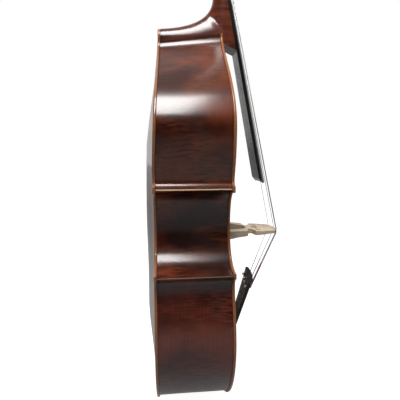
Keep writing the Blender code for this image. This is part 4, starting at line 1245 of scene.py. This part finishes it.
# ---- bridge, tailpiece and strings ---------------------------------------------------------
@dataclass
class Tail:
    """The tailpiece's place and lines."""

    top_f: float = 0.132
    top_z: float = 0.347
    length: float = 0.300
    slope: float = 0.34
    half_top: float = 0.039
    half_end: float = 0.019
    slant: float = 0.033
    radius: float = 0.068
    side: float = 0.010
    hole_back: float = 0.020
    hole: float = 0.0032

    def point(self, x: float, along: float, out: float) -> Vector:
        """A point measured along the tailpiece from its top end and out from its crest."""
        down = Vector((-self.slope, -1.0)).normalized()
        face = Vector((-down.y, down.x))
        spot = Vector((self.top_f, self.top_z)) + down * along + face * out
        return place(x, *spot)

    def slanted(self, x: float) -> float:
        """How far down the slanted top end lies at x."""
        return self.slant * (self.half_top - x) / (2 * self.half_top)

    def half(self, along: float) -> float:
        """Half width some way along."""
        return mix(self.half_top, self.half_end, clamp(along / self.length) ** 0.9)


@dataclass
class Strings:
    """The strings with their silk and balls, the bridge, tailpiece, tail loop and saddle."""

    shop: Shop
    board: Board
    neck: Neck
    box: SoundBox
    tail: Tail = field(default_factory=Tail)
    bridge_z: float = 0.500
    bridge_foot: float = 0.078
    thick_foot: float = 0.024
    thick_top: float = 0.007
    crown: float = 0.1993
    bridge_radius: float = 0.088
    roller: float = 0.0065
    ball: float = 0.0042
    radii: dict[str, float] = field(default_factory=lambda: {"e": 0.00145, "a": 0.0012, "d": 0.0010, "g": 0.0008})
    at_bridge: dict[str, float] = field(
        default_factory=lambda: {"e": -0.043, "a": -0.0143, "d": 0.0143, "g": 0.043})
    at_nut: dict[str, float] = field(default_factory=lambda: {"e": -0.0150, "a": -0.0050, "d": 0.0050, "g": 0.0150})
    at_tail: dict[str, float] = field(
        default_factory=lambda: {"e": -0.0285, "a": -0.0095, "d": 0.0095, "g": 0.0285})

    def seat(self, x: float) -> float:
        """f of the top plate's face under a bridge foot."""
        where = np.array([(x, self.bridge_z + dz) for dz in (-0.012, 0.0, 0.012)])
        closed = self.box.line.plate()
        closed = closed + [Vector((-p.x, p.y)) for p in closed[::-1]]
        return float(self.box.rises(where, closed + closed[:1], self.box.top_arch)[0].max()) + 2 * GAP

    def bridge(self) -> bpy.types.Object:
        """The bridge: two legs, a pinched waist, a heart and two kidney cut-outs under a round crown."""
        base = self.seat(self.bridge_foot)
        inner = [(0.044, self.seat(0.044)), (0.042, self.seat(0.044) + 0.012), (0.040, base + 0.024),
                 (0.036, base + 0.038), (0.030, base + 0.050), (0.022, base + 0.060), (0.012, base + 0.066),
                 (0.0, base + 0.068)]
        outer = [(x, self.seat(x)) for x in (0.052, 0.061, 0.070, self.bridge_foot)]
        outer += [(self.bridge_foot, base + 0.010), (0.075, base + 0.017), (0.070, base + 0.022),
                  (0.0665, base + 0.033), (0.064, base + 0.045), (0.062, base + 0.055), (0.058, base + 0.062),
                  (0.053, base + 0.0655), (0.046, base + 0.067), (0.038, base + 0.0672), (0.032, base + 0.069),
                  (0.0285, base + 0.0725), (0.028, base + 0.077), (0.0295, base + 0.082), (0.034, base + 0.0852),
                  (0.042, base + 0.0862), (0.050, base + 0.088), (0.0555, base + 0.0925), (0.057, base + 0.099),
                  (0.0568, base + 0.108), (0.0555, base + 0.118), (0.053, base + 0.128), (0.050, base + 0.138)]
        crown = [(x, self.crown - sag(x, self.bridge_radius)) for x in (mix(0.047, -0.047, k / 28) for k in range(29))]
        contour = inner[::-1] + outer + crown + [(-x, f) for x, f in outer[::-1]] + [(-x, f) for x, f in inner[:-1]]
        sheets = []
        for sign in (-1, 1):
            ring = []
            for x, f in contour:
                thick = mix(self.thick_foot, self.thick_top, (f - base) / (self.crown - base))
                ring.append(place(x, f, self.bridge_z + sign * thick / 2))
            sheets.append(ring)
        cuts = [self.bridge_cut(base, self.heart())]
        for sign in (-1, 1):
            kidney = [(sign * (0.030 + 0.0075 * math.cos(a) + 0.003 * math.sin(a) ** 2), 0.1025 + 0.0095 * math.sin(a))
                      for a in (2 * math.pi * k / 20 for k in range(20))]
            cuts.append(self.bridge_cut(base, kidney))
        bridge = carved("cut_bridge", loft(sheets, [0.0, 0.02]), (), cuts)
        return self.shop.fit(bridge, "bridge_maple", "bridge", "instrument", ["bridge"], bevel=0.0007, sharp=40)

    def bridge_cut(self, base: float, outline: Sequence[tuple[float, float]]) -> bmesh.types.BMesh:
        """A cutter through the bridge's thickness."""
        points = [place(x, base + f, self.bridge_z) for x, f in outline]
        return prism(points, Vector((0, 0, -0.03)), Vector((0, 0, 0.03)))

    def heart(self) -> list[tuple[float, float]]:
        """The heart cut-out's outline, point down."""
        half = [(0.0, 0.082), (0.005, 0.089), (0.0095, 0.095), (0.0118, 0.101), (0.0115, 0.106), (0.0085, 0.1095),
                (0.0045, 0.1090), (0.0015, 0.1060), (0.0, 0.1040)]
        return half + [(-x, f) for x, f in half[-2:0:-1]]

    def tailpiece(self) -> bpy.types.Object:
        """The tailpiece: round on its face, slanted at the top and slotted for each string."""
        rings = []
        shares = [i / 14 for i in range(15)]
        for share in shares:
            half = self.tail.half(self.tail.length * share)
            xs = [mix(-half, half, k / 20) for k in range(21)]
            ring = [self.tail.point(x, self.tail.length * share + self.tail.slanted(x) * (1 - share),
                                    -sag(x, self.tail.radius)) for x in xs]
            deep = -sag(half, self.tail.radius) - self.tail.side
            ring += [self.tail.point(x, self.tail.length * share + self.tail.slanted(x) * (1 - share), deep)
                     for x in (half, -half)]
            rings.append(ring)
        cuts = []
        for x in self.at_tail.values():
            along = self.tail.slanted(x) + self.tail.hole_back
            face = (self.tail.point(x, along, 0.01) - self.tail.point(x, along, 0)).normalized()
            cuts.append(turned([(-0.04, self.tail.hole), (0.02, self.tail.hole)], face, self.tail.point(x, along, 0), 20))
        for x in (-0.011, 0.011):
            ends = self.tail.point(x, self.tail.length, -0.0067), self.tail.point(x, self.tail.length + 0.02, -0.0067)
            cuts.append(turned([(-0.0123, 0.0025), (0.02, 0.0025)], (ends[1] - ends[0]).normalized(), ends[0], 16))
        tail = carved("slanted_tailpiece", loft(rings), (), cuts)
        return self.shop.fit(tail, "ebony", "ebony", "instrument", ["tailpiece"], bevel=0.0011, sharp=40)

    def route(self, name: str) -> tuple[list[Vector], list[Vector]]:
        """The string's centre line in two stretches: the speaking part from the roller, and down into the tailpiece."""
        r = self.radii[name]
        joint = next(j for j in frame["joints"] if j["name"] == "peg_%s_turn" % name)
        axis = Vector(joint["pos_m"])
        lift = self.roller + r + GAP
        x_nut, x_bridge, x_tail = self.at_nut[name], self.at_bridge[name], self.at_tail[name]
        points = []
        turns, steps = 3, 16
        inward = -1 if x_nut > 0 else 1
        for i in range(turns * steps, -1, -1):
            a = math.radians(-35) + 2 * math.pi * i / steps
            x = x_nut * 0.8 + inward * 2.1 * r * i / steps
            points.append(axis + Vector((x, -lift * math.cos(a), lift * math.sin(a))))
        nut_f = self.board.crest_nut + self.neck.nut_rise - sag(x_nut, self.board.radius) + r + GAP
        nut_z = self.board.nut_z
        points.append(place(x_nut, nut_f - 0.0015, nut_z + self.neck.nut_thick + 0.001))
        points.append(place(x_nut, nut_f, nut_z + self.neck.nut_thick - 0.004))
        points.append(place(x_nut, nut_f, nut_z))
        top_f = self.crown - sag(x_bridge, self.bridge_radius) + r + GAP
        thick = self.thick_top / 2 + 0.001
        over = place(x_bridge, top_f, self.bridge_z + thick)
        run = [points[-1].lerp(over, k / 8) for k in range(1, 9)]
        points += run + [place(x_bridge, top_f, self.bridge_z - thick)]
        surface = r + GAP - sag(x_tail, self.tail.radius)
        start = self.tail.slanted(x_tail)
        low = [self.tail.point(x_tail, start - 0.004, surface + 0.0012)]
        low = [points[-1].lerp(low[0], k / 6) for k in range(1, 7)]
        low.append(self.tail.point(x_tail, start + 0.010, surface + 0.0004))
        hole = start + self.tail.hole_back
        low.append(self.tail.point(x_tail, hole - 0.003, surface + 0.0002))
        low.append(self.tail.point(x_tail, hole - 0.0006, surface - 0.0012))
        low.append(self.tail.point(x_tail, hole, surface - 0.004))
        under = -sag(self.tail.half(hole), self.tail.radius) - self.tail.side - 0.0012
        low.append(self.tail.point(x_tail, hole, under))
        return points, low

    def string(self, name: str) -> None:
        """One string: the wound part, the silk at both ends and the ball."""
        high, low = self.route(name)
        r = self.radii[name]
        whole = high + low
        wound = loose("wound_string_" + name, tube(whole, [r] * len(whole), 12))
        self.shop.fit(wound, "wound_steel", "strings", "instrument", ["string_" + name], sharp=60)
        silk = low[3:]
        sleeve = loose("silk_low_" + name, tube(silk, [r + 0.0003] * len(silk), 12))
        self.shop.fit(sleeve, "silk_" + name, "strings", "instrument", sharp=60)
        upper = high[:49]
        sleeve = loose("silk_high_" + name, tube(upper, [r + 0.0002] * len(upper), 10))
        self.shop.fit(sleeve, "silk_" + name, "strings", "instrument", sharp=60)
        x = self.at_tail[name]
        hole = self.tail.slanted(x) + self.tail.hole_back
        end = low[-1]
        down = (self.tail.point(x, hole, -1) - self.tail.point(x, hole, 0)).normalized()
        profile = [(0.0000, 0.0022), (0.0006, 0.0034), (0.0018, self.ball), (0.0052, self.ball), (0.0066, 0.0034),
                   (0.0072, 0.0022)]
        ball = loose("string_ball_" + name, turned(profile, down, end, 24))
        self.shop.fit(ball, "pale_brass", "strings", "instrument", sharp=50)

    def loop(self) -> None:
        """The tail loop over the saddle and round the endpin's collar, and the saddle."""
        gut, proud, edge = 0.0022, 0.014, self.box.edge
        front = edge + proud + gut + 0.0006
        under = -gut - 0.0010
        half = [self.tail.point(0.011, self.tail.length + along, -0.0067) for along in (-0.012, 0.004)]
        half += [place(0.011, front + 0.001, 0.020), place(0.011, front, 0.006), place(0.011, front - 0.001, 0.001),
                 place(0.0112, front - 0.0035, under - 0.001), place(0.0115, 0.006, under - 0.002),
                 place(0.012, -0.03, under - 0.002)]
        ring = 0.0120 + gut + 0.0006
        for turn in range(-40, 80, 10):
            a = math.radians(turn)
            half.append(Vector((ring * math.cos(a), ring * math.sin(a), RISE + under - 0.002)))
        path = half + [Vector((-p.x, p.y, p.z)) for p in half[::-1]]
        cord = loose("tail_loop", tube(path, [gut] * len(path), 14))
        self.shop.fit(cord, "tail_cord", "tail_cord", "instrument", ["tailgut"], sharp=60)
        saddle = loose("end_saddle", cad_copy("saddle"))
        self.shop.fit(saddle, "ebony", "ebony", "instrument", ["saddle"], bevel=0.0012, segments=3)

    def build(self) -> None:
        """Makes the bridge, tailpiece, strings and tail loop."""
        self.bridge()
        self.tailpiece()
        for name in STRING_NAMES:
            self.string(name)
        self.loop()


# ---- machine heads -------------------------------------------------------------------------
@dataclass
class MachineHead:
    """One tuner: a plate with two lugs, a roller with its gear, and a worm with its key."""

    shop: Shop
    name: str
    teeth: int = 26
    tip: float = 0.0154
    root: float = 0.0132
    gear_thick: float = 0.005
    gear_x: float = 0.039
    crest: float = 0.0049
    core: float = 0.0034
    reach: float = 0.0089

    def joint(self, kind: str) -> dict:
        """The frame's joint of this tuner's peg or key."""
        return next(j for j in frame["joints"] if j["name"] == "%s_%s_turn" % (kind, self.name))

    def gear(self, centre: Vector, side: int, up: Vector) -> bmesh.types.BMesh:
        """The gear's toothed rim, with a gap between two teeth facing the worm."""
        ahead = Vector((side, 0, 0))
        across = up.cross(Vector((1, 0, 0)))
        pitch = 2 * math.pi / self.teeth
        rings = []
        for x in (self.gear_x - self.gear_thick / 2, self.gear_x + self.gear_thick / 2):
            ring = []
            for tooth in range(self.teeth):
                for part, radius in ((-0.30, self.root), (-0.14, self.tip), (0.14, self.tip), (0.30, self.root)):
                    a = pitch * (tooth + 0.5 + part)
                    ring.append(centre + ahead * x + up * (radius * math.cos(a)) + across * (radius * math.sin(a)))
            rings.append(ring)
        return loft(rings)

    def thread(self, centre: Vector, axis: Vector, out: Vector) -> bmesh.types.BMesh:
        """The worm's right-handed thread, at its crest between two teeth."""
        pitch = 2 * math.pi * (self.tip + self.root) / 2 / self.teeth
        turns = self.reach / pitch - 0.25
        across = axis.cross(out)
        steps = 110
        rings = []
        for i in range(-steps, steps + 1):
            share = i / steps
            a = 2 * math.pi * turns * share
            away = out * math.cos(a) + across * math.sin(a)
            end = clamp((abs(share) - 0.92) / 0.08)
            crest = mix(self.crest, self.core, end)
            middle = centre + axis * (pitch * turns * share)
            rings.append([middle + away * radius + axis * half
                          for radius, half in ((self.core - 0.0006, -0.0011), (crest, -0.0004), (crest, 0.0004),
                                               (self.core - 0.0006, 0.0011))])
        return loft(rings)

    def build(self) -> None:
        """Makes the tuner's pieces."""
        peg, key = self.joint("peg"), self.joint("key")
        centre, worm = Vector(peg["pos_m"]), Vector(key["pos_m"])
        axis = Vector(key["axis"]).normalized()
        side = 1 if worm.x > 0 else -1
        up = axis.cross(Vector((-1, 0, 0))).normalized()
        if up.z < 0:
            up = -up
        across = Vector((side, 0, 0))
        inner = self.gear_x - self.gear_thick / 2
        roller = turned([(-0.0290, 0.0055), (-0.0285, 0.0065), (0.0337, 0.0065), (0.0338, 0.009), (inner + 0.001, 0.009)],
                        across, centre, 32)
        nose = turned([(inner + 0.002, 0.0050), (inner + 0.0062, 0.0050), (inner + 0.0070, 0.0042),
                       (inner + 0.0074, 0.0030)], across, centre, 24)
        slot_low = centre + across * (inner + 0.0068) - up * 0.006 - axis * 0.0006
        slot_high = centre + across * (inner + 0.0090) + up * 0.006 + axis * 0.0006
        cut = slab(slot_low, slot_high)
        pegs = carved("roller_and_gear_" + self.name, roller, [self.gear(centre, side, up), nose], [cut])
        self.shop.fit(pegs, "brass", "brass", "peg_" + self.name, ["peg_" + self.name], bevel=0.0002, sharp=30, segments=1)

        start = 0.040
        profile = [(-0.0150, 0.0025), (-self.reach, 0.0025), (-self.reach + 0.0001, self.core),
                   (self.reach - 0.0001, self.core), (self.reach, 0.0025), (0.0138, 0.0025), (0.0139, 0.0036),
                   (0.0165, 0.0040), (0.0190, 0.0030), (0.0300, 0.0027), (0.0360, 0.0032), (start, 0.0036)]
        stem = turned(profile, axis, worm, 28)
        paddle = self.paddle(worm, axis, start)
        keys = carved("worm_and_key_" + self.name, stem, [self.thread(worm, axis, -up), paddle], (), "MANIFOLD")
        self.shop.fit(keys, "brass", "brass", "key_" + self.name, ["worm_key_" + self.name], sharp=40)

        plate = loose("tuner_frame_" + self.name, cad_copy("tuner_plate_" + self.name))
        nodes = ["tuner_plate_" + self.name]
        self.shop.fit(plate, "brass", "brass", "instrument", nodes, bevel=0.0005, sharp=40, segments=2)
        for place_up, place_along in ((-0.0155, -0.011), (-0.0155, 0.011), (0.0235, 0.0), (0.004, -0.0145)):
            at = centre + across * 0.0333 + up * place_up + axis * place_along
            head = turned([(0.0, 0.0026), (0.0007, 0.0026), (0.0013, 0.0018), (0.0015, 0.0008)], across, at, 16)
            screw = loose("plate_screw_%s_%d_%d" % (self.name, round(place_up * 1e4) + 999, round(place_along * 1e4) + 999), head)
            self.shop.fit(screw, "brass", "brass", "instrument", sharp=40)

    def paddle(self, worm: Vector, axis: Vector, start: float) -> bmesh.types.BMesh:
        """The key's broad flat leaf, thinner at its rim."""
        up = axis.cross(Vector((-1, 0, 0))).normalized()
        rings = []
        for out, shrink in ((-0.0019, 0.82), (-0.0012, 0.96), (0.0, 1.0), (0.0012, 0.96), (0.0019, 0.82)):
            ring = []
            for k in range(36):
                a = 2 * math.pi * k / 36
                x = 0.013 * shrink * math.copysign(abs(math.cos(a)) ** 0.6, math.cos(a))
                y = 0.013 * (1 + shrink * math.copysign(abs(math.sin(a)) ** 0.8, math.sin(a)))
                ring.append(worm + Vector((x, 0, 0)) + axis * (start - 0.002 + y) + up * out)
            rings.append(ring)
        return loft(rings)


@dataclass
class Endpin:
    """The collar, sliding rod, rubber foot and clamp screw."""

    shop: Shop

    def build(self) -> None:
        """Makes the endpin's pieces from the frame's."""
        collar = loose("turned_collar", cad_copy("endpin_collar"))
        self.shop.fit(collar, "ebony", "ebony", "instrument", ["endpin_collar"], bevel=0.0008, sharp=40)
        low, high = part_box("endpin_rod")
        radius = (high.x - low.x) / 2
        middle = Vector((0, 0, 0))
        rod = turned([(low.z, radius), (high.z - 0.002, radius), (high.z, radius - 0.002)], Vector((0, 0, 1)), middle, 40)
        self.shop.fit(loose("sliding_rod", rod), "ground_steel", "steel", "endpin", ["endpin_rod"], sharp=40)
        foot = loose("rubber_foot", cad_copy("endpin_tip"))
        self.shop.fit(foot, "rubber", "rubber", "endpin", ["endpin_tip"], bevel=0.0009, sharp=40)
        screw = loose("clamp_screw", cad_copy("endpin_screw"))
        self.shop.fit(screw, "brass", "brass", "endpin_screw", ["endpin_screw"], bevel=0.0005, sharp=40)


# ---- the studio ----------------------------------------------------------------------------
@dataclass
class Studio:
    """The camera, soft lights, a white backdrop and a pale floor."""

    eye: Vector = Vector((-1.0987, 0.0698, 0.8225))
    ahead: Vector = Vector((0.9832, -0.0983, -0.1527))
    lens: float = 30.6
    room: float = 0.035
    backdrop: float = 0.95
    floor_glow: float = 0.95

    def camera(self) -> None:
        """Places the camera."""
        data = bpy.data.cameras.new("camera")
        data.lens, data.sensor_width, data.clip_start = self.lens, 36.0, 0.02
        thing = bpy.data.objects.new("camera", data)
        thing.location = self.eye
        thing.rotation_euler = self.ahead.to_track_quat("-Z", "Y").to_euler()
        bpy.context.scene.collection.objects.link(thing)
        bpy.context.scene.camera = thing

    def softbox(self, name: str, at: Vector, target: Vector, size: tuple[float, float], power: float) -> None:
        """Hangs a rectangular light."""
        data = bpy.data.lights.new(name, "AREA")
        data.shape, data.size, data.size_y, data.energy = "RECTANGLE", size[0], size[1], power
        thing = bpy.data.objects.new(name, data)
        thing.location = at
        thing.rotation_euler = (target - at).to_track_quat("-Z", "Y").to_euler()
        bpy.context.scene.collection.objects.link(thing)

    def surround(self) -> None:
        """A white backdrop behind the instrument, and a dim room on the near side that only reflections see."""
        world = bpy.data.worlds.new("white room")
        world.use_nodes = True
        t = Tree(world.node_tree)
        world.node_tree.nodes.clear()
        seen = t.add("LightPath").outputs["Is Camera Ray"]
        ahead = t.add("SeparateXYZ", {0: t.add("TexCoord").outputs["Generated"]}).outputs[0]
        room = t.math("ADD", self.room, t.math("MULTIPLY", t.ramp(ahead, 0.0, 0.7), self.backdrop))
        strength = t.math("MAXIMUM", seen, room)
        back = t.add("Background", {"Color": (1.0, 1.0, 1.0, 1.0), "Strength": strength})
        t.add("OutputWorld", {"Surface": back.outputs[0]})
        bpy.context.scene.world = world

    def floor(self) -> None:
        """Lays a plain pale floor."""
        bm = bmesh.new()
        bmesh.ops.create_grid(bm, x_segments=2, y_segments=2, size=14.0)
        floor = loose("floor", bm)
        floor.location.z = -0.0005
        p = Paint("pale_floor", roughness=0.9)
        smudge = p.t.add("TexNoise", {"Scale": 2.0}).outputs[0]
        p.wire(p.t.blend(p.t.math("MULTIPLY", smudge, 0.1), (0.34, 0.34, 0.34), (0.31, 0.31, 0.31)), "Base Color")
        p.shader.inputs["Emission Color"].default_value = (1.0, 1.0, 1.0, 1.0)
        seen = p.t.add("LightPath").outputs["Is Camera Ray"]
        shiny = p.t.add("LightPath").outputs["Is Glossy Ray"]
        glow = p.t.math("ADD", p.t.math("MULTIPLY", seen, self.floor_glow), p.t.math("MULTIPLY", shiny, 0.28))
        p.wire(glow, "Emission Strength")
        floor.data.materials.append(p.material)

    def build(self) -> None:
        """Sets everything up."""
        bpy.context.scene.view_settings.view_transform = "Standard"
        self.camera()
        self.surround()
        self.floor()
        middle = Vector((0.0, 0.0, 0.85))
        self.softbox("key", Vector((-0.95, 0.15, 2.75)), middle, (0.55, 1.30), 70.0)
        self.softbox("fill", Vector((-1.5, -2.6, 1.2)), middle, (1.2, 1.8), 3.0)
        self.softbox("rear", Vector((-0.8, 2.8, 1.4)), middle, (1.2, 1.8), 4.0)


def finishes() -> dict[str, bpy.types.Material]:
    """Makes every finish once.

    Returns:
        The materials by name.
    """
    kinds = [
        # The three rib finishes are copies of one maple varnish whose tones were set part by part to how bright each
        # rib reads under these lights, the upper rib's turned down: painted light and shade in the base colour, not a
        # change of wood.
        VarnishedMaple("rib_maple_lower", Grain.PATH, (0.045, 0.009, 0.007), (0.098, 0.020, 0.011), 150.0, 0.0),
        VarnishedMaple("rib_maple_waist", Grain.PATH, (0.024, 0.006, 0.004), (0.160, 0.029, 0.008), 110.0, 5.0),
        VarnishedMaple("rib_maple_upper", Grain.PATH, (0.040, 0.0070, 0.0030), (0.104, 0.020, 0.0040), 150.0, 9.0),
        VarnishedMaple("back_maple", Grain.UP, (0.050, 0.010, 0.005), (0.120, 0.028, 0.008), 60.0, 2.0, True),
        VarnishedMaple("neck_maple", Grain.UP, (0.045, 0.009, 0.006), (0.105, 0.022, 0.010), 60.0, 4.0),
        VarnishedSpruce(),
        BareWood("planed_spruce", (0.62, 0.44, 0.25), (0.40, 0.24, 0.11), 500.0, Grain.UP),
        BareWood("bridge_maple", (0.56, 0.45, 0.32), (0.40, 0.29, 0.18), 300.0, Grain.ACROSS, 0.4),
        Ebony(),
        Metal("wound_steel", (0.52, 0.52, 0.54), (0.30, 0.30, 0.32), 0.28, 1800.0),
        Metal("ground_steel", (0.56, 0.56, 0.57), (0.42, 0.42, 0.43), 0.22),
        Metal("brass", (0.62, 0.45, 0.17), (0.38, 0.26, 0.10), 0.24),
        Metal("pale_brass", (0.86, 0.80, 0.66), (0.62, 0.55, 0.42), 0.35),
        Thread("silk_e", (0.30, 0.035, 0.17)),
        Thread("silk_a", (0.22, 0.14, 0.19)),
        Thread("silk_d", (0.22, 0.14, 0.19)),
        Thread("silk_g", (0.22, 0.14, 0.19)),
        Thread("tail_cord", (0.03, 0.03, 0.03), 700.0),
        Rubber(),
    ]
    return {kind.name: kind.make() for kind in kinds}


def main() -> None:
    """Builds every sub-assembly in order."""
    logging.basicConfig(level=logging.INFO, format="%(name)s %(message)s")
    Studio().build()
    shop = Shop(finishes())
    box = SoundBox(shop)
    box.build()
    board = Board()
    neck = Neck(shop, board, box.line)
    neck.build()
    Strings(shop, board, neck, box).build()
    for name in STRING_NAMES:
        MachineHead(shop, name).build()
    Endpin(shop).build()
    log.info("%d new pieces", len(shop.pieces))


if __name__ == "__main__":
    main()
